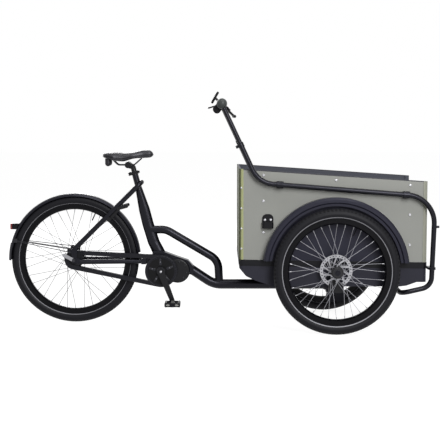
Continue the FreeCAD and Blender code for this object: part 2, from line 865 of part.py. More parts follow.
def chain_cover():
    y0, y1 = -chain_line - cover_half_w, -chain_line + cover_half_w
    z = rear_tyre_r
    body = belt(y0, y1, 0, z, cover_rear_r, bb_x, bb_z, cover_front_r)
    body = body.cut(belt(y0, y1, 0, z, cover_rear_hole_r, bb_x, bb_z, cover_front_hole_r))
    in0, in1 = y0 + cover_wall, y1 - cover_wall
    under = plate_half_h + 2 * seat_gap
    room = belt(in0, in1, 0, z, cover_rear_r - cover_wall, bb_x, bb_z, cover_front_r - cover_wall)
    floor = belt(in0, in1, 0, z, sprocket_pitch_r - under, bb_x, bb_z, ring_pitch_r - under)
    body = body.cut(room.cut(floor))
    slot0, slot1 = -chain_line - cover_slot_half, -chain_line + cover_slot_half
    body = body.cut(disc(0, z, slot0, slot1, cover_rear_r - cover_wall))
    body = body.cut(disc(bb_x, bb_z, slot0, slot1, cover_front_r - cover_wall))
    face = ring(bb_x, bb_z, y0, y0 + cover_wall, cover_front_r, cover_eye_r)
    bead = ring(bb_x, bb_z, y0 - cover_bead_h, y0 + cover_wall, cover_bead_r, cover_bead_r - cover_bead_w)
    return joined(body, face, bead).cut(motor_outline(seat_gap))


def seat_spot(run):
    return V(seat_top_x, 0, seat_top_z) - seat_up * run


def seat_tube_body():
    ahead = V(seat_up.z, 0, -seat_up.x)
    wires = []
    table = zip(seat_tube_runs, seat_tube_deep_shares, seat_tube_wide_shares, seat_tube_bow_shares)
    for run, deep, wide, bow in table:
        centre = seat_spot(run) + ahead * (seat_tube_r * bow)
        if deep == wide:
            wires.append(Part.Wire(Part.makeCircle(seat_tube_r * deep, centre, seat_up)))
            continue
        deep_end = centre + ahead * (seat_tube_r * deep)
        oval = Part.Ellipse(deep_end, centre + V(0, seat_tube_r * wide, 0), centre)
        wires.append(Part.Wire(oval.toShape()))
    upper = rod(seat_spot(seat_tube_runs[1]), seat_spot(0), seat_tube_r)
    lower = Part.makeLoft(wires[1:], True, True)
    return joined(upper, lower)


def seat_tube():
    bore = rod(seat_spot(seat_bore_depth), seat_spot(-overrun), post_r + run_fit)
    return seat_tube_body().cut(bore)


def motor_outline(grow):
    return belt(-motor_right - grow, motor_left + grow, bb_x, bb_z, motor_boss_r + grow,
                motor_x, motor_z, motor_r + grow)


def motor_unit():
    body = motor_outline(0)
    rims = [edge for edge in body.Edges if abs(edge.BoundBox.YLength) < seat_gap]
    body = body.makeFillet(motor_edge, rims)
    return body.cut(disc(bb_x, bb_z, -motor_right - overrun, motor_left + overrun, crank_axle_r + run_fit))


def motor_cradle():
    yoke_top = chain_stay_z + yoke_h / 2
    yoke_low = chain_stay_z - yoke_h / 2
    back = bb_x - cradle_back
    nose_x = motor_x + cradle_nose
    outline = [(yoke_x, yoke_low), (yoke_x, yoke_top), (back, yoke_top),
               (back + cradle_back * cradle_shoulder_share, bb_z + cradle_rise),
               (bb_x, bb_z + cradle_rise), (motor_x, motor_z + motor_r + motor_edge),
               polar(motor_x, motor_z, motor_r + cradle_skin, cradle_brow_angle),
               (nose_x, motor_z + cradle_nose_h / 2), (nose_x, motor_z - cradle_nose_h / 2), (bb_x, bb_z),
               (back, yoke_low)]
    body = plate(outline, -cradle_half_w, cradle_half_w)
    yoke = block(yoke_x, yoke_x + yoke_l, -yoke_half_w, yoke_half_w, yoke_low, yoke_top)
    return joined(body, yoke).cut(motor_outline(seat_gap)).cut(seat_tube_body())


def top_tube():
    start = V(seat_spot((seat_top_z - top_tube_z) / seat_up.z).x, 0, top_tube_z)
    points = [start, V(top_tube_knee_x, 0, top_tube_z), V(top_tube_elbow_x, 0, top_tube_elbow_z),
              V(top_tube_foot_x, 0, main_tube_z)]
    body = tube(points, [top_tube_knee_bend, top_tube_elbow_bend], top_tube_r, top_tube_r - top_tube_wall)
    body = body.cut(seat_tube_body())
    return body.cut(swept(main_tube_points(), [main_tube_bend], main_tube_r))


def main_tube_points():
    return [V(main_tube_rear_x, 0, main_tube_rear_z), V(main_tube_bend_x, 0, main_tube_z),
            V(pivot_x, 0, main_tube_z)]


def main_tube():
    body = tube(main_tube_points(), [main_tube_bend], main_tube_r, main_tube_r - main_tube_wall)
    body = body.cut(motor_cradle()).cut(motor_outline(seat_gap))
    head = rod(V(pivot_x, 0, head_bottom_z), V(pivot_x, 0, head_top_z), head_r)
    return max(body.cut(head).Solids, key=lambda solid: solid.Volume)


def steering_head():
    low, high = V(pivot_x, 0, head_bottom_z), V(pivot_x, 0, head_top_z)
    return rod(low, high, head_r).cut(rod(low, high, kingpin_r + run_fit))


# The two stays are one bar, wrapped round the front of the seat tube
def stay_bar(radius):
    lean = V(stay_loop_x - stay_foot_x, 0, stay_loop_z - stay_foot_z).normalize()
    loop = V(stay_loop_x, 0, stay_loop_z)
    ahead = lean * stay_loop_half
    side = V(0, stay_loop_half, 0)
    foot = V(stay_foot_x, stay_foot_y, stay_foot_z)
    run_right = Part.LineSegment(mirror_point(foot), loop - side).toShape()
    wrap = Part.Arc(loop - side, loop + ahead, loop + side).toShape()
    run_left = Part.LineSegment(loop + side, foot).toShape()
    body = []
    for edge in (run_right, wrap, run_left):
        start = edge.valueAt(edge.FirstParameter)
        circle = Part.Face(Part.Wire(Part.makeCircle(radius, start, edge.tangentAt(edge.FirstParameter))))
        body.append(Part.Solid(Part.Wire(edge).makePipe(circle)))
    knuckles = [Part.makeSphere(radius, loop - side), Part.makeSphere(radius, loop + side)]
    return joined(*body, *knuckles)


def seat_stays():
    hollow = stay_bar(stay_r).cut(stay_bar(stay_r - stay_wall))
    return hollow.cut(seat_tube_body()).cut(dropout_plates())


def mirror_point(point):
    return V(point.x, -point.y, point.z)


def dropout_plates():
    z = rear_tyre_r
    y0, y1 = dropout_half, dropout_half + dropout_t
    upright = belt(y0, y1, 0, z, dropout_tab_r, stay_foot_x, stay_foot_z, dropout_tab_r)
    tongue = belt(y0, y1, 0, z, dropout_tab_r, chain_stay_x + dropout_tab_r, chain_stay_z, stay_r)
    eye = belt(y0, y1, stay_foot_x, stay_foot_z - dropout_tab_r, dropout_tab_r,
               dropout_eye_x, dropout_eye_z - guard_wire_drop / 2, dropout_tab_r)
    body = joined(upright, tongue, eye).cut(disc(0, z, 0, y1 + overrun, rear_axle_r))
    return both(body)


def chain_stays():
    start = V(chain_stay_x, dropout_half + dropout_t / 2, chain_stay_z)
    end = V(yoke_x, yoke_stay_y, chain_stay_z)
    ahead = (end - start).normalize()
    body = pipe(start, end + ahead * overrun, stay_r, stay_wall)
    body = body.cut(block(yoke_x, yoke_x + yoke_l + overrun, 0, yoke_half_w + overrun,
                          chain_stay_z - yoke_h, chain_stay_z + yoke_h))
    return group(both(body.cut(dropout_plates())), dropout_plates())


def seat_post():
    top = seat_spot((seat_top_z + post_top_drop - clamp_z) / seat_up.z)
    low = seat_spot(post_below)
    head = belt(-post_head_half, post_head_half, top.x, top.z, post_head_r, clamp_x, clamp_z, clamp_r)
    post = joined(rod(low, top, post_r), head)
    ears = []
    for side in (-1, 1):
        ear = disc(clamp_x, clamp_z, side * post_head_half, side * clamp_half, clamp_r)
        ears.append(ear.cut(saddle_wire(side)))
    return group(post, *ears)


def saddle_wire(side):
    y = side * rail_wire_y
    top = saddle_base_z - seat_gap
    points = [V(clamp_x - rail_wire_rear, y, top), V(clamp_x - rail_wire_low_rear, y, clamp_z),
              V(clamp_x + rail_wire_low_front, y, clamp_z), V(clamp_x + rail_wire_front, y, top)]
    trimmed = swept(points, [rail_wire_bend, rail_wire_bend], rail_wire_r)
    above = block(saddle_tail_x, saddle_tail_x + saddle_l, y - overrun, y + overrun, top, top + overrun)
    return trimmed.cut(above)


def saddle_rails():
    top = saddle_base_z - seat_gap
    low = top - bumper_drop + bumper_r
    bumpers = []
    for side in (-1, 1):
        stem = rod(V(bumper_x, side * bumper_y, low), V(bumper_x, side * bumper_y, top), bumper_r)
        bumpers.append(joined(stem, Part.makeSphere(bumper_r, V(bumper_x, side * bumper_y, low))))
    return group(saddle_wire(-1), saddle_wire(1), *bumpers)


# Room under the saddle for its rails and bumpers
def saddle_hollow():
    low, top = saddle_base_z - saddle_hollow_drop, saddle_base_z
    wires = []
    for along, wide in zip(saddle_along_shares, saddle_wide_shares):
        x = saddle_tail_x + saddle_l * along
        half = saddle_half_w * wide * saddle_hollow_share
        corners = [V(x, -half, low), V(x, half, low), V(x, half, top), V(x, -half, top)]
        wires.append(Part.makePolygon(corners + corners[:1]))
    hollow = Part.makeLoft(wires, True, True)
    for side in (-1, 1):
        y = side * bumper_y
        hollow = hollow.fuse(rod(V(bumper_x, y, low), V(bumper_x, y, top), bumper_r + run_fit))
    return hollow


# Crowned top, drawn-in sides and drooping skirts, lofted from tail to nose
def saddle_cover():
    wires = []
    table = zip(saddle_along_shares, saddle_wide_shares, saddle_top_shares, saddle_low_shares)
    for along, wide, top, low in table:
        x = saddle_tail_x + saddle_l * along
        half = saddle_half_w * wide
        z0 = saddle_base_z + saddle_crown * low
        z1 = saddle_base_z + saddle_crown * top
        belly_z = z0 + (z1 - z0) * saddle_belly_share
        shoulder_z = z0 + (z1 - z0) * saddle_tuck_share
        tuck, shoulder = half * saddle_tuck_share, half * saddle_shoulder_share
        edges = [
            Part.LineSegment(V(x, -tuck, z0), V(x, tuck, z0)).toShape(),
            Part.Arc(V(x, tuck, z0), V(x, half, belly_z), V(x, shoulder, shoulder_z)).toShape(),
            Part.Arc(V(x, shoulder, shoulder_z), V(x, 0, z1), V(x, -shoulder, shoulder_z)).toShape(),
            Part.Arc(V(x, -shoulder, shoulder_z), V(x, -half, belly_z), V(x, -tuck, z0)).toShape(),
        ]
        wires.append(Part.Wire(edges))
    return Part.makeLoft(wires, True).cut(saddle_hollow())


def lever_pivot_spot():
    back = V(-seat_up.z, 0, seat_up.x)
    middle = seat_spot(collar_h / 2)
    return middle + back * (collar_r + collar_lug_l / 2) + V(0, -collar_lug_half - seat_lever_gap / 2, 0)


def seat_collar():
    low, high = seat_spot(collar_h), seat_spot(0)
    band = rod(low, high, collar_r)
    pivot = lever_pivot_spot()
    back = V(-seat_up.z, 0, seat_up.x)
    lug = block(-collar_lug_l, 0, -collar_lug_half, collar_lug_half, 0, collar_h)
    lug.rotate(V(0, 0, 0), V(0, 1, 0), seat_angle - 90)
    lug.translate(low + back * seat_tube_r)
    bolt = rod(V(pivot.x, collar_lug_half, pivot.z), V(pivot.x, pivot.y, pivot.z), collar_pin_r)
    pin_half = seat_up * (collar_h / 2)
    pin = rod(pivot - pin_half, pivot + pin_half, collar_pin_r)
    return joined(band, lug, bolt, pin).cut(rod(low - seat_up, high + seat_up, seat_tube_r))


def seat_lever():
    pivot = lever_pivot_spot()
    half_w = seat_lever_w / 2
    half_t = seat_lever_t / 2
    knuckle_r = collar_pin_r + half_t
    knuckle = Part.makeCylinder(knuckle_r, seat_lever_w, V(0, 0, -half_w))
    arm = block(0, seat_lever_l, -knuckle_r, half_t - knuckle_r, -half_w, half_w)
    bolt_room = rod(V(0, 0, 0), V(0, overrun, 0), collar_pin_r + seat_gap)
    pin_room = Part.makeCylinder(collar_pin_r + run_fit, 2 * seat_lever_w, V(0, 0, -seat_lever_w))
    room_half = collar_pin_r + seat_gap
    swing = joined(block(-overrun, overrun, 0, overrun, -room_half, room_half),
                   block(-overrun, collar_pin_r, -overrun, overrun, -room_half, room_half))
    body = joined(knuckle, arm).cut(pin_room).cut(bolt_room).cut(swing)
    body.rotate(V(0, 0, 0), V(0, 1, 0), seat_angle - 90)
    body.translate(pivot)
    return body


def guard_section(half_w, drop, outer):
    shoulder = (outer - guard_shoulder_drop, guard_shoulder_half)
    return [(outer, guard_crown_half), shoulder, (outer - drop, half_w)]


# A bent strip of even wall, as a closed outline of (radius, side) points
def guard_shell(half_w, drop, outer, wall):
    top = guard_section(half_w, drop, outer)
    under = [(r - wall, w) for r, w in guard_section(half_w - wall / 2, drop, outer)]
    return [(r, -w) for r, w in reversed(top)] + top + list(reversed(under)) + [(r, -w) for r, w in under]


def rear_mudguard():
    shell = turned(0, rear_tyre_r, guard_shell(guard_half_w, guard_drop, guard_r, guard_wall),
                   guard_front_angle, guard_rear_angle)
    flap_half = guard_half_w + flap_wall
    flap = turned(0, rear_tyre_r, guard_shell(flap_half, guard_drop, flap_outer_r, flap_wall),
                  flap_top_angle, flap_end_angle)
    return group(shell, flap)


def mudguard_stays():
    edge_r = guard_r - guard_drop - guard_wall
    clip_x, clip_z = polar(0, rear_tyre_r, edge_r, guard_clip_angle)
    inner_y = guard_half_w + seat_gap
    clip = block(clip_x - guard_clip_l / 2, clip_x + guard_clip_l, inner_y, inner_y + guard_clip_t,
                 clip_z - guard_clip_l, clip_z + guard_clip_l / 2)
    wires = []
    for way in (-1, 1):
        eye_z = dropout_eye_z - guard_wire_drop / 2 + way * guard_wire_drop / 2
        face = dropout_half + dropout_t
        eye = V(dropout_eye_x, face + guard_wire_out, eye_z)
        rear_z = clip_z - guard_clip_l / 2 + guard_wire_r + way * guard_wire_r
        rear = V(clip_x + guard_clip_l / 2, inner_y + guard_clip_t / 2, rear_z)
        wires.append(rod(eye, rear, guard_wire_r))
        wires.append(disc(dropout_eye_x, eye_z, face, eye.y + guard_wire_r, guard_eye_r))
    return both(joined(clip, *wires))


def rear_light():
    z0, z1 = light_z - light_half_h, light_z + light_half_h
    body = block(-light_x, light_body_l - light_x, -light_half_w, light_half_w, z0, z1)
    guard = disc(0, rear_tyre_r, -guard_half_w, guard_half_w, guard_r + seat_gap)
    lens = block(-light_x - lens_t, -light_x, -light_half_w, light_half_w, z0, z1)
    return max(body.cut(guard).Solids, key=lambda solid: solid.Volume), lens


def brake_spot():
    radius = (rim_top(rear_tyre_r, rear_tyre_w) + rim_inner(rear_tyre_r, rear_tyre_w) + rim_slope) / 2
    return polar(0, rear_tyre_r, radius, brake_angle)


def rear_brake():
    x, z = brake_spot()
    y0, y1 = brake_cylinder_start, brake_cylinder_start + brake_cylinder_l
    upper_x, upper_z = polar(x, z, brake_bracket_reach, brake_bracket_angle)
    barrel = disc(x, z, y0, y1, brake_cylinder_r)
    mid_y = guard_half_w + brake_bracket_t / 2
    bracket = belt(mid_y, mid_y + brake_bracket_t, x, z, brake_cylinder_r, upper_x, upper_z, brake_bracket_r)
    body = joined(barrel, bracket).cut(disc(x, z, 0, y1 - brake_lever_r, brake_piston_r + run_fit))
    body = body.cut(stay_bar(stay_r))
    lever_x, lever_z = polar(upper_x, upper_z, brake_lever_l, brake_lever_angle)
    face = mid_y + brake_bracket_t
    lever = belt(face, face + brake_lever_t, upper_x, upper_z, brake_lever_r,
                 lever_x, lever_z, brake_lever_r)
    return both(group(max(body.Solids, key=lambda solid: solid.Volume), lever.cut(stay_bar(stay_r))))


def brake_pad(side):
    x, z = brake_spot()
    y0 = rim_half(rear_tyre_w) + brake_pad_gap
    y1 = y0 + brake_pad_t
    shoe = block(x - brake_pad_l / 2, x + brake_pad_l / 2, y0, y1, z - brake_pad_h / 2, z + brake_pad_h / 2)
    shoe.rotate(V(x, 0, z), V(0, -1, 0), brake_angle + 90)
    body = joined(shoe, disc(x, z, y1, y1 + brake_piston_l, brake_piston_r))
    return body if side > 0 else mirrored(body)


def line_z(x, rear_z, front_z):
    return rear_z + (front_z - rear_z) * (x - box_rear_x) / (box_front_x - box_rear_x)


def above_line(rear_z, front_z):
    high = rim_rear_z + beam_z
    x0, x1 = box_rear_x - overrun, box_front_x + overrun
    outline = [(x0, line_z(x0, rear_z, front_z)), (x1, line_z(x1, rear_z, front_z)), (x1, high), (x0, high)]
    return plate(outline, -box_half_w - overrun, box_half_w + overrun)


def upright_box(grow, corner, z0, z1):
    body = block(box_rear_x - grow, box_front_x + grow, -box_half_w - grow, box_half_w + grow, z0, z1)
    uprights = [edge for edge in body.Edges if edge.BoundBox.ZLength > (z1 - z0) / 2]
    return body.makeFillet(corner, uprights)


def tub_outline(inset):
    x0, x1 = box_rear_x + inset, box_front_x - inset
    z0 = tub_bottom_z + inset
    back, front = tub_rear_runs, tub_front_runs
    return [(x0, rim_rear_z), (x0, tub_rear_z + inset / 2),
            (x0 + back[0], tub_rear_z - tub_rear_drops[0] + inset),
            (x0 + back[1], tub_rear_z - tub_rear_drops[1] + inset), (x0 + back[2], z0), (x1 - front[0], z0),
            (x1 - front[1], z0 + tub_front_rises[0]), (x1 - front[2], z0 + tub_front_rises[1]),
            (x1, z0 + tub_front_rises[1]), (x1, rim_rear_z)]


def cargo_tub():
    outer = plate(tub_outline(0), -box_half_w, box_half_w)
    outer = outer.common(upright_box(0, box_corner_r, 0, rim_rear_z + overrun))
    inner_half = box_half_w - tub_wall
    inner = plate(tub_outline(tub_wall), -inner_half, inner_half)
    inner = inner.common(upright_box(-tub_wall, box_corner_r - tub_wall, 0, rim_rear_z + overrun))
    body = outer.cut(inner).cut(above_line(seam_rear_z, seam_front_z))
    pivot_hole = rod(V(pivot_x, 0, tub_bottom_z - overrun), V(pivot_x, 0, tub_bottom_z + overrun),
                     carrier_r + seat_gap)
    side_far = box_half_w + overrun
    axle_hole = disc(wheelbase, front_tyre_r, -side_far, side_far, stub_shoulder_r + seat_gap)
    band = upright_box(trim_t, box_corner_r + trim_t, tub_bottom_z, seam_rear_z)
    band = band.cut(upright_box(0, box_corner_r, tub_bottom_z - overrun, seam_rear_z + overrun))
    band = band.cut(above_line(seam_rear_z, seam_front_z))
    band = band.common(above_line(seam_rear_z - trim_rear_h, seam_front_z - trim_front_h))
    band = band.cut(disc(wheelbase, front_tyre_r, -side_far, side_far, stub_shoulder_r + caliper_bracket_r))
    return group(body.cut(pivot_hole).cut(axle_hole), band)


def box_panels():
    high = rim_rear_z + overrun
    tray = above_line(seam_rear_z, seam_front_z).cut(above_line(rim_rear_z, rim_front_z))
    x0, x1 = box_rear_x + box_corner_r, box_front_x - box_corner_r
    side = block(x0, x1, box_half_w - panel_t, box_half_w, tub_bottom_z, high)
    end_half = box_half_w - box_corner_r
    rear = block(box_rear_x, box_rear_x + panel_t, -end_half, end_half, tub_bottom_z, high)
    front = block(box_front_x - panel_t, box_front_x, -end_half, end_half, tub_bottom_z,
                  rim_front_z - front_panel_drop)
    return group(both(side.common(tray)), rear.common(tray), front.common(tray))


def corner_posts():
    high = rim_rear_z + overrun
    tray = above_line(seam_rear_z, seam_front_z).cut(above_line(rim_rear_z, rim_front_z))
    shell = upright_box(post_t, box_corner_r + post_t, tub_bottom_z, high)
    end_half = box_half_w - box_corner_r
    inside = block(box_rear_x, box_front_x, -end_half, end_half, 0, high + overrun)
    across = block(box_rear_x + box_corner_r, box_front_x - box_corner_r, -box_half_w, box_half_w,
                   0, high + overrun)
    shell = shell.cut(inside).cut(across).common(tray)
    far = box_half_w + overrun
    posts = []
    rear_span = (box_rear_x - overrun, box_rear_x + post_leg)
    front_span = (box_front_x - post_leg, box_front_x + overrun)
    for x0, x1 in (rear_span, front_span):
        keep = block(x0, x1, box_half_w - post_leg, far, 0, high + overrun)
        posts.append(shell.common(keep))
    return both(group(*posts))


def floor_panel():
    half = box_half_w - floor_side_gap
    x0, x1 = box_rear_x + floor_side_gap, box_front_x - floor_side_gap
    corners = [(x0 + floor_corner, -half), (x1 - floor_corner, -half), (x1, floor_corner - half),
               (x1, half - floor_corner), (x1 - floor_corner, half), (x0 + floor_corner, half),
               (x0, half - floor_corner), (x0, floor_corner - half)]
    points = [V(x, y, floor_z) for x, y in corners]
    return Part.Face(Part.makePolygon(points + points[:1])).extrude(V(0, 0, floor_t))


def bolt_head(x, z, radius):
    head = disc(x, z, box_half_w, box_half_w + bolt_h, radius)
    outer = [edge for edge in head.Edges if edge.BoundBox.YMin > box_half_w + bolt_h / 2]
    return head.makeFillet(bolt_h / 2, outer)


def beside_arch(way, z, share, half_w):
    post_end = box_rear_x + post_leg + half_w if way < 0 else box_front_x - post_leg - half_w
    arch_end = wheelbase + way * (arch_half(z) + half_w)
    return post_end + (arch_end - post_end) * share if way < 0 else arch_end + (post_end - arch_end) * share


def tent_spot():
    return beside_arch(-1, tent_z - tent_h / 2, tent_share, tent_w / 2)


def panel_bolts():
    spots = []
    columns = ((-1, bolt_rear_share, bolt_rear_row_shares), (1, bolt_front_share, bolt_front_row_shares))
    for way, across, shares in columns:
        low_z = seam_front_z + (rim_front_z - seam_front_z) * shares[-1]
        x = beside_arch(way, low_z - bolt_r, across, bolt_r)
        low, high = line_z(x, seam_rear_z, seam_front_z), line_z(x, rim_rear_z, rim_front_z)
        spots += [(x, low + (high - low) * share) for share in shares]
        spots.append((x, high - bolt_drop))
    spots.append((wheelbase, line_z(wheelbase, rim_rear_z, rim_front_z) - bolt_drop))
    heads = [bolt_head(x, z, bolt_r) for x, z in spots]
    for way in (-1, 1):
        head = bolt_head(tent_spot() + way * tent_bolt_half, tent_z + tent_bolt_rise, tent_bolt_r)
        head.translate(V(0, tent_t, 0))
        heads.append(head)
    return both(group(*heads))


# Everything below the seam between box and tub
def arch_feet():
    x0, x1 = wheelbase - arch_r - overrun, wheelbase + arch_r + overrun
    low = front_tyre_r - arch_r - overrun
    rear_z, front_z = seam_rear_z + seat_gap, seam_front_z + seat_gap
    outline = [(x0, line_z(x0, rear_z, front_z)), (x1, line_z(x1, rear_z, front_z)), (x1, low), (x0, low)]
    return plate(outline, 0, front_track_half)


def wheel_arches():
    y0 = box_half_w
    face = y0 + arch_reach
    mid = face - arch_ridge_in
    section = [(arch_r, y0), (arch_r, face - arch_edge), (arch_r - arch_edge, face), (arch_ridge_r, face),
               (arch_ridge_r - arch_ridge_in, mid), (arch_inner_r, mid), (arch_inner_r, mid - arch_lip),
               (arch_inner_r + arch_wall, mid - arch_lip), (arch_inner_r + arch_wall, mid - arch_wall),
               (arch_ridge_r - arch_ridge_in + arch_wall, mid - arch_wall),
               (arch_ridge_r + arch_wall, face - arch_wall),
               (arch_r - arch_edge - arch_wall, face - arch_wall),
               (arch_r - arch_wall, face - arch_edge - arch_wall), (arch_r - arch_wall, y0)]
    shell = turned(wheelbase, front_tyre_r, section, 0, 180)
    back = disc(wheelbase, front_tyre_r, y0, y0 + arch_back_t, arch_r)
    return both(joined(shell, back).cut(arch_feet()))


def tent_brackets():
    x = tent_spot()
    x0, x1 = x - tent_w / 2, x + tent_w / 2
    z0, z1 = tent_z - tent_h / 2, tent_z + tent_h / 2
    panel = block(x0, x1, box_half_w, box_half_w + tent_t, z0, z1)
    corners = [edge for edge in panel.Edges
               if edge.BoundBox.YLength > tent_t / 2 and edge.BoundBox.ZMin > tent_z]
    panel = panel.makeFillet(tent_edge, corners)
    out = box_half_w + tent_t + tent_shelf_out
    shelf = block(x0, x1, box_half_w, out, z0, z0 + tent_shelf_h)
    front_edges = [edge for edge in shelf.Edges
                   if edge.BoundBox.ZLength > tent_shelf_h / 2 and edge.BoundBox.YMin > box_half_w + tent_t]
    shelf = shelf.makeFillet(tent_shelf_out / 2, front_edges)
    bore_y = box_half_w + tent_t + tent_shelf_out / 2
    bore = rod(V(x, bore_y, z0 - overrun), V(x, bore_y, z0 + tent_shelf_h + overrun), tent_bore_r)
    return both(joined(panel, shelf).cut(bore))


def front_axle():
    x, z = wheelbase, beam_z
    half_l = box_half_w - tub_wall - beam_end_gap
    beam = block(x - beam_half, x + beam_half, -half_l, half_l, z - beam_half, z + beam_half)
    beam_low = z - beam_half
    room = beam_half - chassis_wall
    room_l = half_l - stub_root - chassis_wall
    beam = beam.cut(block(x - room, x + room, -room_l, room_l, z - room, z + room))
    nut_top = head_bottom_z - seat_gap
    kingpin = joined(rod(V(pivot_x, 0, nut_top - kingpin_nut_h), V(pivot_x, 0, beam_low), kingpin_r),
                     rod(V(pivot_x, 0, nut_top - kingpin_nut_h), V(pivot_x, 0, nut_top), kingpin_nut_r))
    foot_top = nut_top - kingpin_nut_h
    foot = block(pivot_x - foot_behind, pivot_x + foot_ahead, -foot_half_w, foot_half_w,
                 foot_top - foot_h, foot_top)
    foot = foot.makeFillet(foot_edge, [edge for edge in foot.Edges if edge.BoundBox.YLength > foot_half_w])
    kingpin = joined(kingpin, foot)
    carrier = rod(V(pivot_x, 0, head_top_z + seat_gap), V(pivot_x, 0, beam_low), carrier_r)
    carrier = carrier.cut(rod(V(pivot_x, 0, 0), V(pivot_x, 0, beam_z), kingpin_r))
    rail_x0 = box_rear_x + tub_rear_runs[2] + chassis_rail_inset
    rail_x1 = box_front_x - tub_front_runs[0] - chassis_rail_inset
    rail_half = chassis_rail_w / 2
    chassis_rail = block(rail_x0, rail_x1, chassis_rail_y - rail_half, chassis_rail_y + rail_half,
                         tub_bottom_z + tub_wall, beam_low)
    rail_half -= chassis_wall
    chassis_rail = chassis_rail.cut(block(rail_x0 - overrun, rail_x1 + overrun,
                                          chassis_rail_y - rail_half, chassis_rail_y + rail_half,
                                          tub_bottom_z + tub_wall + chassis_wall, beam_low - chassis_wall))
    hub_in = rotor_y - rotor_t / 2 - seat_gap
    hub_out = front_track_half + front_hub_outer + seat_gap
    stub = joined(disc(x, z, half_l - stub_root, hub_out + stub_nut_h / 2, stub_r),
                  disc(x, z, half_l, hub_in, stub_shoulder_r),
                  disc(x, z, hub_out, hub_out + stub_nut_h, stub_nut_r))
    for side in (-1, 1):
        beam = beam.cut(disc(x, z, side * (half_l - stub_root), side * (half_l + overrun), stub_r))
    return group(beam, kingpin, carrier, both(chassis_rail), both(stub))


def brake_calipers():
    x, z = wheelbase, front_tyre_r
    cz = z - caliper_drop
    body = block(x - caliper_l / 2, x + caliper_l / 2, rotor_y - caliper_half_t, rotor_y + caliper_half_t,
                 cz - caliper_h / 2, cz + caliper_h / 2)
    edges = [edge for edge in body.Edges if edge.BoundBox.YLength > caliper_half_t]
    body = body.makeFillet(caliper_edge, edges)
    slot0, slot1 = rotor_y - caliper_slot_half, rotor_y + caliper_slot_half
    rotor_room = disc(x, z, slot0, slot1, rotor_r + caliper_slot_half)
    body = body.cut(rotor_room)
    y1 = rotor_y - caliper_half_t
    y0 = y1 - caliper_bracket_t
    bracket = belt(y0, y1, x, z, caliper_bracket_r, x, cz, caliper_bracket_r)
    bracket = bracket.cut(disc(x, z, y0 - overrun, y1 + overrun, stub_shoulder_r))
    return both(group(body, bracket))


def rail_points():
    sleeve_low = V(rail_run_x, rail_y, rail_run_z)
    top = V(sleeve_x, rail_y, sleeve_z)
    return [top, sleeve_low, V(rail_nose_x, rail_y, rail_nose_z), V(rail_chin_x, rail_y, rail_chin_z),
            V(rail_end_x, rail_y, rail_end_z), V(rail_end_x, 0, rail_end_z)]


def rail_bends():
    return [rail_top_bend, rail_nose_bend, rail_chin_bend, rail_end_bend]


def side_rails():
    return both(tube(rail_points(), rail_bends(), rail_r, rail_bore_r))


def rail_clips():
    solid_rail = swept(rail_points(), rail_bends(), rail_r)
    half = clip_w / 2
    clips = []
    for share in (clip_rear_share, clip_front_share):
        run = rail_points()[2] - rail_points()[1]
        spot = rail_points()[1] + run * (share + clip_rear_share)
        along = V(run.x, 0, run.z).normalize()
        strap = rod(spot - along * half, spot + along * half, rail_r + clip_t)
        foot = block(spot.x - half, spot.x + half, box_half_w, rail_y, spot.z - half, spot.z + half)
        clips.append(joined(strap, foot).cut(solid_rail).cut(corner_posts()))
    low_x = rail_front_x(clip_low_z)
    half = clip_low_w / 2
    strap = rod(V(low_x, rail_y, clip_low_z - half), V(low_x, rail_y, clip_low_z + half), rail_r + clip_t)
    foot = block(box_front_x + trim_t, low_x, box_half_w - box_corner_r - clip_foot, rail_y,
                 clip_low_z - half, clip_low_z + half)
    clips.append(joined(strap, foot).cut(solid_rail))
    collar_low = V(sleeve_x, rail_y, sleeve_z) - sleeve_up * clamp_collar_h
    collar = rod(collar_low, V(sleeve_x, rail_y, sleeve_z), rail_r + clamp_collar_t)
    middle = collar_low + sleeve_up * (clamp_collar_h / 2)
    back = V(-sleeve_up.z, 0, sleeve_up.x)
    knob_start = V(middle.x, -middle.y, middle.z) + back * (rail_r + clamp_collar_t / 2)
    knob = rod(knob_start, knob_start + back * clamp_knob_l, clamp_knob_r)
    collar_end = collar_low + sleeve_up * (clamp_collar_h + overrun)
    collar_room = rod(collar_low - sleeve_up * overrun, collar_end, rail_r)
    clips.append(collar.cut(collar_room))
    front_x = rail_front_x(stop_z)
    stop = rod(V(front_x, rail_y, stop_z), V(front_x + rail_r + stop_l, rail_y, stop_z), stop_r)
    clips.append(stop.cut(solid_rail))
    pairs = both(group(*[max(clip.Solids, key=lambda solid: solid.Volume) for clip in clips]))
    return group(pairs, knob.cut(pairs).cut(both(collar_room)))


def handlebar_tubes():
    foot = V(sleeve_x, rail_y, sleeve_z) - sleeve_up * leg_insert
    top = V(sleeve_x, rail_y, sleeve_z) + sleeve_up * (leg_above - corner_leg_gap)
    half_l = rail_y - corner_leg_gap
    bar = rod(V(bar_x, -half_l, bar_z), V(bar_x, half_l, bar_z), bar_r)
    return group(both(rod(foot, top, bar_r)), bar)


def handlebar_corners():
    centre = V(bar_x, rail_y, bar_z)
    ball = Part.makeSphere(corner_r, centre)
    leg_end = centre - sleeve_up * corner_leg_gap
    ball = ball.cut(rod(centre - sleeve_up * (corner_r + overrun), leg_end, bar_r))
    far = V(bar_x, rail_y - corner_r - overrun, bar_z)
    return both(ball.cut(rod(far, centre - V(0, corner_leg_gap, 0), bar_r)))


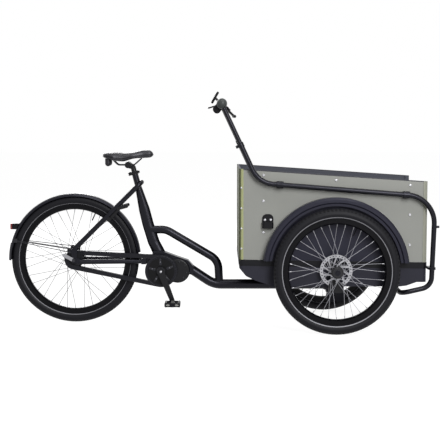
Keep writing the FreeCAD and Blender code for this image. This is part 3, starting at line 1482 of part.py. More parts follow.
def grips():
    y1 = rail_y - corner_r - grip_gap
    y0 = y1 - grip_l
    wing_x, wing_z = polar(bar_x, bar_z, wing_reach, wing_angle)
    sleeve = disc(bar_x, bar_z, y0, y1, grip_r)
    wing = belt(y1 - grip_l * wing_l_share, y1, bar_x, bar_z, grip_r, wing_x, wing_z, wing_r)
    ends = [edge for edge in wing.Edges if edge.BoundBox.YLength < seat_gap]
    wing = wing.makeFillet(grip_r / 2, ends)
    return both(joined(sleeve, wing).cut(disc(bar_x, bar_z, y0 - overrun, y1 + overrun, bar_r)))


# Lever pieces are drawn with X out of the bar, then turned down and moved to the bar
def set_on_bar(shape):
    shape.rotate(V(0, 0, 0), V(0, 1, 0), lever_drop_angle)
    shape.translate(V(bar_x, 0, bar_z))
    return shape


def lever_bodies():
    half_w = lever_clamp_w / 2
    clamp = disc(0, 0, lever_y - half_w, lever_y + half_w, bar_r + lever_clamp_t)
    ear_in = lever_knuckle_half + lever_ear_gap
    ear_out = ear_in + lever_ear_t
    stem = block(0, lever_pivot + lever_knuckle_r, lever_y - half_w, lever_y + half_w / 2, -ear_out, ear_out)
    room = block(lever_pivot - lever_knuckle_r - lever_blade_r, lever_pivot + lever_blade_l,
                 lever_y - half_w - overrun, lever_y + half_w + overrun, -ear_in, ear_in)
    pin = Part.makeCylinder(lever_pin_r, 2 * ear_out, V(lever_pivot, lever_y, -ear_out))
    barrel_end = lever_y - half_w - lever_cylinder_l
    barrel = disc(lever_cylinder_out, 0, barrel_end, lever_y - half_w / 2, lever_cylinder_r)
    body = joined(clamp, stem, barrel).cut(room)
    body = joined(max(body.Solids, key=lambda solid: solid.Volume), pin)
    body = body.cut(disc(0, 0, 0, lever_y + overrun, bar_r))
    return both(set_on_bar(body))


def brake_lever(side):
    low = V(lever_pivot, lever_y, -lever_knuckle_half)
    knuckle = Part.makeCylinder(lever_knuckle_r, 2 * lever_knuckle_half, low)
    blade_x = lever_pivot + lever_blade_out
    points = [V(lever_pivot, lever_y, 0), V(blade_x, lever_y + lever_blade_run, 0),
              V(blade_x, lever_y + lever_blade_l, 0)]
    blade = swept(points, [lever_blade_bend], lever_blade_r)
    ball = Part.makeSphere(lever_ball_r, points[-1])
    bore = Part.makeCylinder(lever_pin_r + run_fit, 2 * lever_knuckle_r + 2 * lever_knuckle_half,
                             V(lever_pivot, lever_y, -lever_knuckle_r - lever_knuckle_half))
    body = set_on_bar(joined(knuckle, blade, ball).cut(bore))
    return body if side > 0 else mirrored(body)


def display():
    half_l, half_t, half_w = display_l / 2, display_t / 2, display_w / 2
    screen = block(-half_l, half_l, -half_w, half_w, -half_t, half_t)
    screen = screen.makeFillet(display_edge, screen.Edges)
    screen.rotate(V(0, 0, 0), V(0, 1, 0), -display_angle)
    centre = V(bar_x - display_back, 0, bar_z + display_up)
    screen.translate(centre)
    half_c = display_clamp_w / 2
    clamp = disc(bar_x, bar_z, -half_c, half_c, bar_r + display_clamp_t)
    arm = rod(V(bar_x, 0, bar_z), centre, display_arm_r)
    rocker_end = V(bar_x - rocker_back, 0, bar_z - rocker_drop)
    rocker = joined(rod(V(bar_x, 0, bar_z), rocker_end, rocker_r), Part.makeSphere(rocker_r, rocker_end))
    return joined(screen, clamp, arm, rocker).cut(disc(bar_x, bar_z, -half_w, half_w, bar_r))


light_body, light_lens = rear_light()
wheel = front_wheel()
nodes = {
    "seat_tube": seat_tube(),
    "motor_cradle": motor_cradle(),
    "motor_unit": motor_unit(),
    "top_tube": top_tube(),
    "main_tube": main_tube(),
    "steering_head": steering_head(),
    "seat_stays": seat_stays(),
    "chain_stays": chain_stays(),
    "seat_collar": seat_collar(),
    "seat_lever": seat_lever(),
    "seat_post": seat_post(),
    "saddle_rails": saddle_rails(),
    "saddle_cover": saddle_cover(),
    "rear_axle": rear_axle(),
    "shift_unit": shift_unit(),
    "rear_sprocket": sprocket(),
    "drive_chain": chain(),
    "chain_cover": chain_cover(),
    "chainring": chainring(),
    "crank_arms": crank_arms(),
    "crank_axle": crank_axle(),
    "pedal_right": pedal(-1),
    "pedal_left": pedal(1),
    "rear_mudguard": rear_mudguard(),
    "mudguard_stays": mudguard_stays(),
    "rear_light_body": light_body,
    "rear_light_lens": light_lens,
    "rear_brake": rear_brake(),
    "brake_pad_right": brake_pad(-1),
    "brake_pad_left": brake_pad(1),
    "cargo_tub": cargo_tub(),
    "box_panels": box_panels(),
    "corner_posts": corner_posts(),
    "floor_panel": floor_panel(),
    "panel_bolts": panel_bolts(),
    "wheel_arches": wheel_arches(),
    "tent_brackets": tent_brackets(),
    "front_axle": front_axle(),
    "brake_calipers": brake_calipers(),
    "side_rails": side_rails(),
    "rail_clips": rail_clips(),
    "handlebar_tubes": handlebar_tubes(),
    "handlebar_corners": handlebar_corners(),
    "grips": grips(),
    "lever_bodies": lever_bodies(),
    "brake_lever_right": brake_lever(-1),
    "brake_lever_left": brake_lever(1),
    "display": display(),
    **rear_wheel(),
    **{"front_" + name + "_left": shape for name, shape in wheel.items()},
    **{"front_" + name + "_right": mirrored(shape) for name, shape in wheel.items()},
}

os.makedirs("parts", exist_ok=True)
for name, shape in nodes.items():
    shape.translate(V(-middle_x, 0, 0))
    shape.exportStep("parts/" + name + ".step")
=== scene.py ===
import bpy
import math
import numpy as np
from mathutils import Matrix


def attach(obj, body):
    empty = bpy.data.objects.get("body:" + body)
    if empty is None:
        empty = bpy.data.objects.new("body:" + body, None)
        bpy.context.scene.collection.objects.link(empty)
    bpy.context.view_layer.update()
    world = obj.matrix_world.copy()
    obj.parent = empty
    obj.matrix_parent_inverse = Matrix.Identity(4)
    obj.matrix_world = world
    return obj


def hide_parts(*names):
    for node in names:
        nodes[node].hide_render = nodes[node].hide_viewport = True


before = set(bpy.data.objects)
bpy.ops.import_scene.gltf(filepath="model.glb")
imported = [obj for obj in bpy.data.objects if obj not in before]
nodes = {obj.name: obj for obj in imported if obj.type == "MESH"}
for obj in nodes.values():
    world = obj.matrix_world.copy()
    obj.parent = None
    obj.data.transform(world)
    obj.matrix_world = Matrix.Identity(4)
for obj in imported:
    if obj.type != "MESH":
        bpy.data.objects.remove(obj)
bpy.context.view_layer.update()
print("frame loaded,", len(nodes), "nodes")

# the side view's own viewpoint, in metres, degrees and millimetres of lens
viewpoint = {"place": (-0.0005, -6.2088, 1.0629), "yaw": 0.09, "pitch": -4.902,
             "lens": 98.54, "sensor": 36.0, "reach": 60.0}


def makeCamera(setup):  # a long lens, level with the handlebar, tipped a little down
    lens = bpy.data.cameras.new("sideCamera")
    lens.lens, lens.sensor_width = setup["lens"], setup["sensor"]
    lens.clip_end = setup["reach"]
    camera = bpy.data.objects.new("sideCamera", lens)
    camera.location = setup["place"]
    camera.rotation_euler = (math.radians(90 + setup["pitch"]), 0.0, math.radians(-setup["yaw"]))
    bpy.context.collection.objects.link(camera)
    bpy.context.scene.camera = camera


makeCamera(viewpoint)
print("camera placed")


def linear(hexCode):  # a screen colour as shaders take it: a straight start, then a power of 2.4
    screen = np.array([int(hexCode[i:i + 2], 16) for i in (0, 2, 4)]) / 255.0
    return tuple(np.where(screen <= 0.04045, screen / 12.92, ((screen + 0.055) / 1.055) ** 2.4)) + (1.0,)


def addNode(tree, kind, **values):  # one shader node with its plain settings
    node = tree.nodes.new(kind)
    for key, value in values.items():
        setattr(node, key, value)
    return node


def feed(tree, socket, value):  # a number goes on the socket, an output is linked to it
    if isinstance(value, (int, float, tuple)):
        socket.default_value = value
    else:
        tree.links.new(value, socket)


def reckon(tree, operation, first, second=0.0):  # one step of arithmetic between numbers or outputs
    node = addNode(tree, "ShaderNodeMath", operation=operation)
    feed(tree, node.inputs[0], first)
    feed(tree, node.inputs[1], second)
    return node.outputs[0]


def both(tree, first, second):  # 1 where two masks are both 1: their product
    return reckon(tree, "MULTIPLY", first, second)


def apart(tree, first, second):  # the root of the sum of two squares
    squares = reckon(tree, "MULTIPLY", first, first), reckon(tree, "MULTIPLY", second, second)
    return reckon(tree, "SQRT", reckon(tree, "ADD", *squares))


def blendColor(tree, factor, first, second):  # the first colour at 0, the second at 1, straight between
    node = addNode(tree, "ShaderNodeMix", data_type="RGBA")
    feed(tree, node.inputs[0], factor)
    feed(tree, node.inputs[6], first)
    feed(tree, node.inputs[7], second)
    return node.outputs[2]


def blendValue(tree, factor, first, second):  # the same for plain numbers
    node = addNode(tree, "ShaderNodeMix", data_type="FLOAT")
    feed(tree, node.inputs[0], factor)
    feed(tree, node.inputs[2], first)
    feed(tree, node.inputs[3], second)
    return node.outputs[0]


studio = {"worldLight": 0.24, "white": (1.0, 1.0, 1.0, 1.0), "aim": (0.0, 0.0, 0.5),
          "floorHalf": 30.0, "floorColor": "8a8a8a", "floorGlow": 0.93, "floorRough": 0.9,
          "lamps": {"keyLamp": {"place": (1.9, -5.2, 2.9), "power": 236.0, "size": (1.8, 3.4)},
                    "topLamp": {"place": (0.6, -1.6, 4.8), "power": 60.0, "size": (4.0, 1.2)},
                    "fillLamp": {"place": (-1.6, 5.2, 2.9), "power": 130.0, "size": (1.8, 3.4)}}}


def aimLamp(name, spec, aim):  # an oblong soft lamp, turned to the middle of the tricycle
    lamp = bpy.data.lights.new(name, "AREA")
    lamp.shape = "RECTANGLE"
    lamp.energy = spec["power"]
    lamp.size, lamp.size_y = spec["size"]
    holder = bpy.data.objects.new(name, lamp)
    holder.location = spec["place"]
    toward = np.array(aim) - np.array(spec["place"])
    holder.rotation_euler = (math.atan2(math.hypot(toward[0], toward[1]), -toward[2]), 0.0,
                             math.atan2(toward[1], toward[0]) - math.pi / 2)
    bpy.context.collection.objects.link(holder)


def lookedAt(tree):  # 1 for the camera's rays and for what mirrors and glass show
    ray = addNode(tree, "ShaderNodeLightPath")
    mirrored = reckon(tree, "MAXIMUM", ray.outputs["Is Glossy Ray"], ray.outputs["Is Transmission Ray"])
    return reckon(tree, "MAXIMUM", ray.outputs["Is Camera Ray"], mirrored)


def makeLight(setup):  # soft lamps in a dim world that is white wherever the camera or a reflection looks
    world = bpy.data.worlds.new("studio")
    world.use_nodes = True
    bpy.context.scene.world = world
    tree = world.node_tree
    sky = tree.nodes["Background"]
    sky.inputs["Color"].default_value = setup["white"]
    feed(tree, sky.inputs["Strength"], blendValue(tree, lookedAt(tree), setup["worldLight"], 1.0))
    for name, spec in setup["lamps"].items():
        aimLamp(name, spec, setup["aim"])
    bpy.context.scene.view_settings.view_transform = "Standard"


def makeFloor(setup):  # a wide square sheet of grey paper that glows white for the same rays
    half = setup["floorHalf"]
    corners = [(-half, -half, 0), (half, -half, 0), (half, half, 0), (-half, half, 0)]
    sheet = bpy.data.meshes.new("studioFloor")
    sheet.from_pydata(corners, [], [(0, 1, 2, 3)])
    floor = bpy.data.objects.new("studioFloor", sheet)
    bpy.context.collection.objects.link(floor)
    paper = bpy.data.materials.new("floorPaper")
    paper.use_nodes = True
    tree = paper.node_tree
    shader = tree.nodes["Principled BSDF"]
    shader.inputs["Base Color"].default_value = linear(setup["floorColor"])
    shader.inputs["Roughness"].default_value = setup["floorRough"]
    shader.inputs["Specular IOR Level"].default_value = 0.0
    shader.inputs["Emission Color"].default_value = setup["white"]
    glow = reckon(tree, "MULTIPLY", lookedAt(tree), setup["floorGlow"])
    feed(tree, shader.inputs["Emission Strength"], glow)
    sheet.materials.append(paper)


makeLight(studio)
makeFloor(studio)
print("studio lit")

# the axles that several pieces share, in metres
wheels = {"rear": {"body": "rear_wheel", "centre": (-0.740167, 0.0, 0.3295)},
          "right": {"body": "front_wheel_r", "centre": (0.578333, -0.386, 0.3095)},
          "left": {"body": "front_wheel_l", "centre": (0.578333, 0.386, 0.3095)}}
crankAxle = (-0.294167, 0.271)

# where the finishes change on one piece, in metres of the tricycle's own frame
places = {"boardSkin": 0.304, "boardRear": 0.1078, "boardFront": 1.0238,
          "rimRear": 0.8085, "rimSlope": 0.0666, "edging": 0.0045,
          "boxRear": 0.1038, "boxMiddle": 0.5658, "cornerRun": 0.444, "cornerSide": 0.290,
          "cornerSkin": 0.019, "stripSplit": 0.5, "stripShade": 0.1115,
          "tubTop": 0.361, "tubSlope": 0.0152, "tubBand": 0.031,
          "coverRecess": 0.0680, "coverFace": 0.0555, "axleNut": 0.0098,
          "rotorPlane": 0.346, "rotorHalf": 0.0014, "rotorInner": 0.0285,
          "holeRing": 0.0725, "holeCount": 30.0, "holeRadius": 0.0031}


def splitPlace(tree):  # the point's x, its distance from the middle plane, and its height
    place = addNode(tree, "ShaderNodeTexCoord")
    parts = addNode(tree, "ShaderNodeSeparateXYZ")
    tree.links.new(place.outputs["Object"], parts.inputs[0])
    return parts.outputs[0], reckon(tree, "ABSOLUTE", parts.outputs[1]), parts.outputs[2]


def aboveSlope(tree, start, slope):  # 1 above a line that falls from the box's rear to its front
    x, side, height = splitPlace(tree)
    run = reckon(tree, "SUBTRACT", x, places["boxRear"])
    line = reckon(tree, "SUBTRACT", start, reckon(tree, "MULTIPLY", run, slope))
    return reckon(tree, "GREATER_THAN", height, line)


def insideBoard(tree):  # 1 in the inner half of each panel's thickness: inside a box of three limits
    x, side, height = splitPlace(tree)
    narrow = reckon(tree, "LESS_THAN", side, places["boardSkin"])
    ahead = reckon(tree, "GREATER_THAN", x, places["boardRear"])
    behind = reckon(tree, "LESS_THAN", x, places["boardFront"])
    return both(tree, narrow, both(tree, ahead, behind))


def boardEdging(tree):  # 1 on the thin dark edging along the panels' sloping rims
    return aboveSlope(tree, places["rimRear"] - places["edging"], places["rimSlope"])


def rearBoard(tree):  # 1 on the outer half of the panel that faces the rider
    return reckon(tree, "LESS_THAN", splitPlace(tree)[0], places["boardRear"])


def frontStrip(tree):  # 1 on the two strips at the front corners
    return reckon(tree, "GREATER_THAN", splitPlace(tree)[0], places["stripSplit"])


def stripShade(tree):  # 1 on the rear edge of the rear strips, which wears painted shade: the olive of the corner turning away from the light
    return reckon(tree, "LESS_THAN", splitPlace(tree)[0], places["stripShade"])


def insideStrip(tree):  # 1 nearer the box's middle than half the strips' thickness, round the corners too
    x, side, height = splitPlace(tree)
    away = reckon(tree, "ABSOLUTE", reckon(tree, "SUBTRACT", x, places["boxMiddle"]))
    along = reckon(tree, "MAXIMUM", reckon(tree, "SUBTRACT", away, places["cornerRun"]), 0.0)
    across = reckon(tree, "MAXIMUM", reckon(tree, "SUBTRACT", side, places["cornerSide"]), 0.0)
    return reckon(tree, "LESS_THAN", apart(tree, along, across), places["cornerSkin"])


def tubBand(tree):  # 1 on a dark band along the tub's top edge, just under the panels
    return aboveSlope(tree, places["tubTop"] - places["tubBand"], places["tubSlope"])


def fromAxis(tree, x0, z0):  # distance from a crosswise axis, with the two parts of it and the side
    x, side, height = splitPlace(tree)
    across = reckon(tree, "SUBTRACT", x, x0)
    up = reckon(tree, "SUBTRACT", height, z0)
    return apart(tree, across, up), across, up, side


def coverRecess(tree):  # 1 on the round field inside the chain cover's ring, on its outer face
    radius, across, up, side = fromAxis(tree, *crankAxle)
    return both(tree, reckon(tree, "LESS_THAN", radius, places["coverRecess"]),
                reckon(tree, "GREATER_THAN", side, places["coverFace"]))


def axleNut(tree):  # 1 within the nut's radius of the rear axle
    x0, y0, z0 = wheels["rear"]["centre"]
    return reckon(tree, "LESS_THAN", fromAxis(tree, x0, z0)[0], places["axleNut"])


def rotorFace(tree):  # 1 in the brake disc's plane outside the hub, less a ring of small round holes
    x0, y0, z0 = wheels["right"]["centre"]
    radius, across, up, side = fromAxis(tree, x0, z0)
    plane = reckon(tree, "ABSOLUTE", reckon(tree, "SUBTRACT", side, places["rotorPlane"]))
    disc = both(tree, reckon(tree, "LESS_THAN", plane, places["rotorHalf"]),
                reckon(tree, "GREATER_THAN", radius, places["rotorInner"]))
    pitch = 2 * math.pi / places["holeCount"]
    turn = reckon(tree, "FRACT", reckon(tree, "DIVIDE", reckon(tree, "ARCTAN2", up, across), pitch))
    along = reckon(tree, "MULTIPLY", reckon(tree, "SUBTRACT", turn, 0.5), pitch * places["holeRing"])
    out = reckon(tree, "SUBTRACT", radius, places["holeRing"])
    return both(tree, disc, reckon(tree, "GREATER_THAN", apart(tree, along, out), places["holeRadius"]))


def sidewallStripe(tree):  # the thin reflecting ring, as the tyre mesh marks it in its own attribute
    return addNode(tree, "ShaderNodeAttribute", attribute_name="stripe").outputs["Fac"]


def treadGroove(tree):  # how deep the tread is cut, from 0 to 1, as the tyre mesh marks it
    return addNode(tree, "ShaderNodeAttribute", attribute_name="groove").outputs["Fac"]


# what all finishes share: detail of the clouds and the grain, spread of gloss, depths in metres
texture = {"cloudDetail": 5.0, "grainDetail": 3.0, "glossSpread": 0.07, "grainDepth": 0.0004,
           "ribDepth": 0.0012, "spec": 0.5, "tint": "ffffff"}
finishes = {
    "frameSatin": {"color": "07070b", "rough": 0.28, "spec": 0.25, "tint": "ececff",
                   "grain": 1400, "bump": 0.05, "drift": 5, "shade": 0.12},
    "boardGrey": {"color": "999a95", "rough": 0.50, "spec": 0.25,
                  "grain": 700, "bump": 0.12, "drift": 4, "shade": 0.05,
                  "layers": ((rearBoard, {"color": "62664c", "rough": 0.60}),
                             (insideBoard, {"color": "4c4e57", "rough": 0.62}),
                             (boardEdging, {"color": "3a3a41", "rough": 0.45}))},
    # the corner strips: the pale yellow-green on the rear strips is a painted highlight on the lit side of
    # each rounded corner, and the front strips keep a plain grey
    "stripHighlightGreen": {"color": "aeb284", "rough": 0.42, "spec": 0.25,
                   "grain": 900, "bump": 0.06, "drift": 5, "shade": 0.06,
                   "layers": ((frontStrip, {"color": "9b9c8f", "rough": 0.48}),
                              (stripShade, {"color": "62664c", "rough": 0.55}),
                              (insideStrip, {"color": "4c4e57", "rough": 0.62}))},
    "tubCharcoal": {"color": "2b2b35", "rough": 0.42, "spec": 0.16,
                    "grain": 520, "bump": 0.12, "drift": 6, "shade": 0.10,
                    "layers": ((tubBand, {"color": "0f0f14", "rough": 0.38}),)},
    "archCharcoal": {"color": "22222d", "rough": 0.32, "spec": 0.24, "tint": "ececff",
                     "grain": 560, "bump": 0.08, "drift": 6, "shade": 0.10},
    "floorPly": {"color": "4a443d", "rough": 0.60, "spec": 0.30,
                 "grain": 420, "bump": 0.25, "drift": 12, "shade": 0.20},
    "brightSteel": {"color": "b0b0b4", "rough": 0.28, "metal": 1.0,
                    "grain": 1600, "bump": 0.04, "drift": 20, "shade": 0.08},
    "spokeSteel": {"color": "9a9aa0", "rough": 0.34, "metal": 0.9,
                   "grain": 1600, "bump": 0.04, "drift": 20, "shade": 0.08},
    # the rear spokes wear a darker copy of the spoke steel: painted shade, so the thin wires read as grey
    # lines against the white floor
    "spokeShadedCopy": {"color": "2a2a2f", "rough": 0.42, "metal": 0.4, "spec": 0.2,
                  "grain": 1600, "bump": 0.04, "drift": 20, "shade": 0.08},
    "nutSteel": {"color": "8f8f92", "rough": 0.34, "metal": 0.9,
                 "grain": 1300, "bump": 0.06, "drift": 25, "shade": 0.14},
    "axleSteel": {"color": "9c9ca0", "rough": 0.32, "metal": 0.9,
                  "grain": 1300, "bump": 0.06, "drift": 25, "shade": 0.14,
                  "layers": ((axleNut, {"color": "3a3a3e", "rough": 0.40, "metal": 0.9}),)},
    "boltGrey": {"color": "6b6b70", "rough": 0.36, "metal": 0.9,
                 "grain": 1300, "bump": 0.06, "drift": 40, "shade": 0.14},
    "darkSteel": {"color": "2c2c30", "rough": 0.40, "metal": 0.7,
                  "grain": 1300, "bump": 0.08, "drift": 30, "shade": 0.16},
    "tyreRubber": {"color": "131318", "rough": 0.48, "spec": 0.16,
                   "grain": 900, "bump": 0.10, "drift": 10, "shade": 0.14,
                   # the darker colour in the cut tread is painted shade in the grooves
                   "layers": ((treadGroove, {"color": "0c0c0f", "rough": 0.75}),
                              (sidewallStripe, {"color": "a2a2a8", "rough": 0.40, "metal": 0.2}))},
    "rimBlack": {"color": "09090d", "rough": 0.28, "spec": 0.10,
                 "grain": 1500, "bump": 0.03, "drift": 8, "shade": 0.10},
    "hubAlloy": {"color": "1b1b1f", "rough": 0.38, "metal": 0.4,
                 "grain": 1200, "bump": 0.06, "drift": 18, "shade": 0.12,
                 "layers": ((rotorFace, {"color": "a6a6aa", "rough": 0.32, "metal": 1.0}),)},
    "alloyBlack": {"color": "0b0b10", "rough": 0.30, "spec": 0.24,
                   "grain": 1300, "bump": 0.05, "drift": 12, "shade": 0.12},
    "cornerGrey": {"color": "3f4342", "rough": 0.36, "spec": 0.25,
                   "grain": 1100, "bump": 0.06, "drift": 16, "shade": 0.10},
    "casingBlack": {"color": "0c0c11", "rough": 0.36, "spec": 0.15,
                    "grain": 650, "bump": 0.08, "drift": 9, "shade": 0.12},
    "coverBlack": {"color": "1b1b21", "rough": 0.36, "spec": 0.16,
                   "grain": 650, "bump": 0.08, "drift": 9, "shade": 0.12,
                   "layers": ((coverRecess, {"color": "050507", "rough": 0.55}),)},
    "ringGrey": {"color": "24242b", "rough": 0.34, "spec": 0.25,
                 "grain": 900, "bump": 0.05, "drift": 12, "shade": 0.12},
    "guardBlack": {"color": "0b0b12", "rough": 0.28, "spec": 0.26, "tint": "ececff",
                   "grain": 1100, "bump": 0.04, "drift": 7, "shade": 0.10},
    "glossBlack": {"color": "101013", "rough": 0.16, "spec": 0.25,
                   "grain": 1200, "bump": 0.02, "drift": 10, "shade": 0.06},
    "lensRed": {"color": "8a2f30", "rough": 0.18, "spec": 0.40,
                "grain": 380, "bump": 0.20, "drift": 30, "shade": 0.15, "ribs": ("Z", 80.0, 0.5)},
    "padRubber": {"color": "1e1e22", "rough": 0.80, "spec": 0.15,
                  "grain": 800, "bump": 0.30, "drift": 30, "shade": 0.15},
    "gripRubber": {"color": "151518", "rough": 0.60, "spec": 0.14,
                   "grain": 500, "bump": 0.25, "drift": 15, "shade": 0.12, "ribs": ("Y", 52.0, 0.6)},
    "saddleSkin": {"color": "101014", "rough": 0.36, "spec": 0.9, "tint": "b3b3b8",
                   "grain": 620, "bump": 0.04, "drift": 9, "shade": 0.12},
    "stitchThread": {"color": "34343a", "rough": 0.75, "spec": 0.20,
                     "grain": 2200, "bump": 0.40, "drift": 60, "shade": 0.20},
    "pedalGrip": {"color": "6c6c6a", "rough": 0.55, "spec": 0.25,
                  "grain": 1000, "bump": 0.30, "drift": 40, "shade": 0.14},
    "pedalPale": {"color": "9a9a96", "rough": 0.50, "spec": 0.30,
                  "grain": 1000, "bump": 0.25, "drift": 40, "shade": 0.12},
    "screenGlass": {"color": "0b0d10", "rough": 0.10, "spec": 0.40,
                    "grain": 900, "bump": 0.01, "drift": 25, "shade": 0.20},
}


def addNoise(tree, place, scale, detail):  # soft noise over the object's own coordinates
    noise = addNode(tree, "ShaderNodeTexNoise")
    noise.inputs["Scale"].default_value = scale
    noise.inputs["Detail"].default_value = detail
    tree.links.new(place, noise.inputs["Vector"])
    return noise.outputs["Fac"]


def addBump(tree, height, strength, depth):  # normals tilted by the slope of a height
    bump = addNode(tree, "ShaderNodeBump")
    bump.inputs["Strength"].default_value = strength
    bump.inputs["Distance"].default_value = depth
    tree.links.new(height, bump.inputs["Height"])
    return bump


def makeFinish(name, spec):  # colour drifts in soft clouds, gloss and bump follow a fine grain
    skin = bpy.data.materials.new(name)
    skin.use_nodes = True
    tree = skin.node_tree
    shader = tree.nodes["Principled BSDF"]
    place = addNode(tree, "ShaderNodeTexCoord").outputs["Object"]
    cloud = addNoise(tree, place, spec["drift"], texture["cloudDetail"])
    grain = addNoise(tree, place, spec["grain"], texture["grainDetail"])
    base = np.array(linear(spec["color"])[:3])
    darker, lighter = (tuple(base * (1 + way * spec["shade"])) + (1.0,) for way in (-1, 1))
    color = blendColor(tree, cloud, darker, lighter)
    spread = texture["glossSpread"]
    gloss = blendValue(tree, grain, spec["rough"] - spread, spec["rough"] + spread)
    metal = spec.get("metal", 0.0)
    for findMask, other in spec.get("layers", ()):
        mask = findMask(tree)
        color = blendColor(tree, mask, color, linear(other["color"]))
        gloss = blendValue(tree, mask, gloss, other["rough"])
        if other.get("metal", 0.0) != spec.get("metal", 0.0):
            metal = blendValue(tree, mask, metal, other.get("metal", 0.0))
    feed(tree, shader.inputs["Metallic"], metal)
    feed(tree, shader.inputs["Base Color"], color)
    feed(tree, shader.inputs["Roughness"], gloss)
    relief = addBump(tree, grain, spec["bump"], texture["grainDepth"])
    if "ribs" in spec:
        axis, scale, strength = spec["ribs"]
        wave = addNode(tree, "ShaderNodeTexWave", bands_direction=axis)
        wave.inputs["Scale"].default_value = scale
        tree.links.new(place, wave.inputs["Vector"])
        ridges = addBump(tree, wave.outputs["Fac"], strength, texture["ribDepth"])
        tree.links.new(ridges.outputs["Normal"], relief.inputs["Normal"])
    tree.links.new(relief.outputs["Normal"], shader.inputs["Normal"])
    shader.inputs["Specular IOR Level"].default_value = spec.get("spec", texture["spec"])
    shader.inputs["Specular Tint"].default_value = linear(spec.get("tint", texture["tint"]))
    return skin


skins = {name: makeFinish(name, spec) for name, spec in finishes.items()}

# which nodes wear which finish
worn = {
    "frameSatin": "seat_tube motor_cradle top_tube main_tube steering_head seat_stays chain_stays front_axle "
                  "side_rails rail_clips handlebar_tubes",
    "boardGrey": "box_panels", "stripHighlightGreen": "corner_posts", "tubCharcoal": "cargo_tub",
    "archCharcoal": "wheel_arches", "floorPly": "floor_panel", "brightSteel": "panel_bolts",
    "casingBlack": "tent_brackets rear_light_body shift_unit pedal_right pedal_left lever_bodies",
    "spokeSteel": "front_spokes_left front_spokes_right", "spokeShadedCopy": "rear_spokes",
    "axleSteel": "rear_axle",
    "darkSteel": "drive_chain rear_sprocket chainring crank_axle saddle_rails mudguard_stays",
    "tyreRubber": "rear_tyre front_tyre_left front_tyre_right",
    "rimBlack": "rear_rim front_rim_left front_rim_right",
    "hubAlloy": "rear_hub front_hub_left front_hub_right", "cornerGrey": "handlebar_corners",
    "alloyBlack": "crank_arms seat_post seat_collar seat_lever rear_brake brake_calipers brake_lever_right "
                  "brake_lever_left motor_unit",
    "coverBlack": "chain_cover", "guardBlack": "rear_mudguard", "glossBlack": "display",
    "lensRed": "rear_light_lens", "padRubber": "brake_pad_right brake_pad_left", "gripRubber": "grips",
    "saddleSkin": "saddle_cover",
}
for skinName, wearers in worn.items():
    for wearer in wearers.split():
        nodes[wearer].material_slots[0].material = skins[skinName]
print("finishes on", sum(len(w.split()) for w in worn.values()), "nodes")


def addPiece(name, points, wrapRows, body, skin, caps=False, crease=40.0):
    # a stack of grids of points, each closed round its columns and, if asked, along its rows or by end caps
    stack = points if points.ndim == 4 else points[None]
    copies, rows, cols = stack.shape[:3]
    row = np.arange(rows if wrapRows else rows - 1)
    col = np.arange(cols)
    corner = row[:, None] * cols + col[None, :]
    ahead = ((row + 1) % rows)[:, None] * cols + col[None, :]
    shift = (col + 1) % cols
    quads = np.stack([corner, ahead, ahead - col + shift, corner - col + shift], -1).reshape(-1, 4)
    start = np.arange(copies)[:, None, None] * rows * cols
    faces = (quads[None] + start).reshape(-1, 4)
    flat = stack.reshape(-1, 3)
    a, b, c, d = (flat[faces[:, k]] - flat.mean(0) for k in range(4))
    volume = (np.cross(b - d, c - a) * (a + b + c + d)).sum()  # its sign tells which way the faces look
    step = 1 if volume < 0 else -1
    faces = faces[:, ::step].tolist()
    if caps:
        first = np.arange(cols)[None, :] + start[:, :, 0]
        last = first + (rows - 1) * cols
        faces += first[:, ::step].tolist() + last[:, ::-step].tolist()
    mesh = bpy.data.meshes.new(name)
    mesh.from_pydata(flat.tolist(), [], faces)
    mesh.shade_smooth()
    mesh.set_sharp_from_angle(angle=math.radians(crease))
    mesh.materials.append(skin)
    piece = bpy.data.objects.new(name, mesh)
    bpy.context.collection.objects.link(piece)
    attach(piece, body)
    return piece


def ramp(value, low, high):  # 0 below low, 1 above high, smooth between
    share = np.clip((value - low) / (high - low), 0.0, 1.0)
    return share * share * (3 - 2 * share)


def band(value, low, high, soft):  # 1 between low and high, with soft edges
    return ramp(value, low - soft, low + soft) * (1 - ramp(value, high - soft, high + soft))


def wholeTurn(count):  # evenly spaced angles round one turn
    return np.linspace(0, 2 * math.pi, count, endpoint=False)


def swell(wave, power):  # a wave raised to a power, its sign kept: below 1 it squares an oval
    return np.sign(wave) * np.abs(wave) ** power


def gathered(x, y, z):  # three arrays spread over each other, as one grid of points
    return np.stack(np.broadcast_arrays(x, y, z), -1)


# section angles and shares of one lug's pitch as (low, high, soft), lengths in metres
tread = {"bead": 140.0, "wall": 0.004, "depth": 0.0017, "perLug": 8, "outerSteps": 65, "innerSteps": 9,
         "slantRun": 60.0, "stepRun": 140.0, "rib": (9.0, 13.0, 1.2), "gutter": (31.0, 34.5, 1.2),
         "blocks": (12.0, 31.0, 1.0), "blockGap": (0.62, 0.92, 0.07),
         "lugs": (33.0, 56.0, 1.5), "lugGap": (0.55, 0.95, 0.07),
         "sipe": (-1.0, 9.0, 1.0), "sipeGap": (0.42, 0.58, 0.06), "sipeDepth": 0.5,
         "rings": ((68.0, 71.0, 1.0), (100.0, 103.0, 1.0), (110.0, 113.0, 1.0)), "ringDepth": 0.25,
         "stripeSoft": 1.0, "crease": 50.0}
tyres = {
    "rearTyre": {"node": "rear_tyre", "wheel": "rear", "half": 0.025, "lugs": 104, "stripe": (127.0, 135.0)},
    "frontTyreRight": {"node": "front_tyre_right", "wheel": "right", "half": 0.027, "lugs": 96,
                       "stripe": (121.0, 128.5)},
    "frontTyreLeft": {"node": "front_tyre_left", "wheel": "left", "half": 0.027, "lugs": 96,
                      "stripe": (121.0, 128.5)},
}


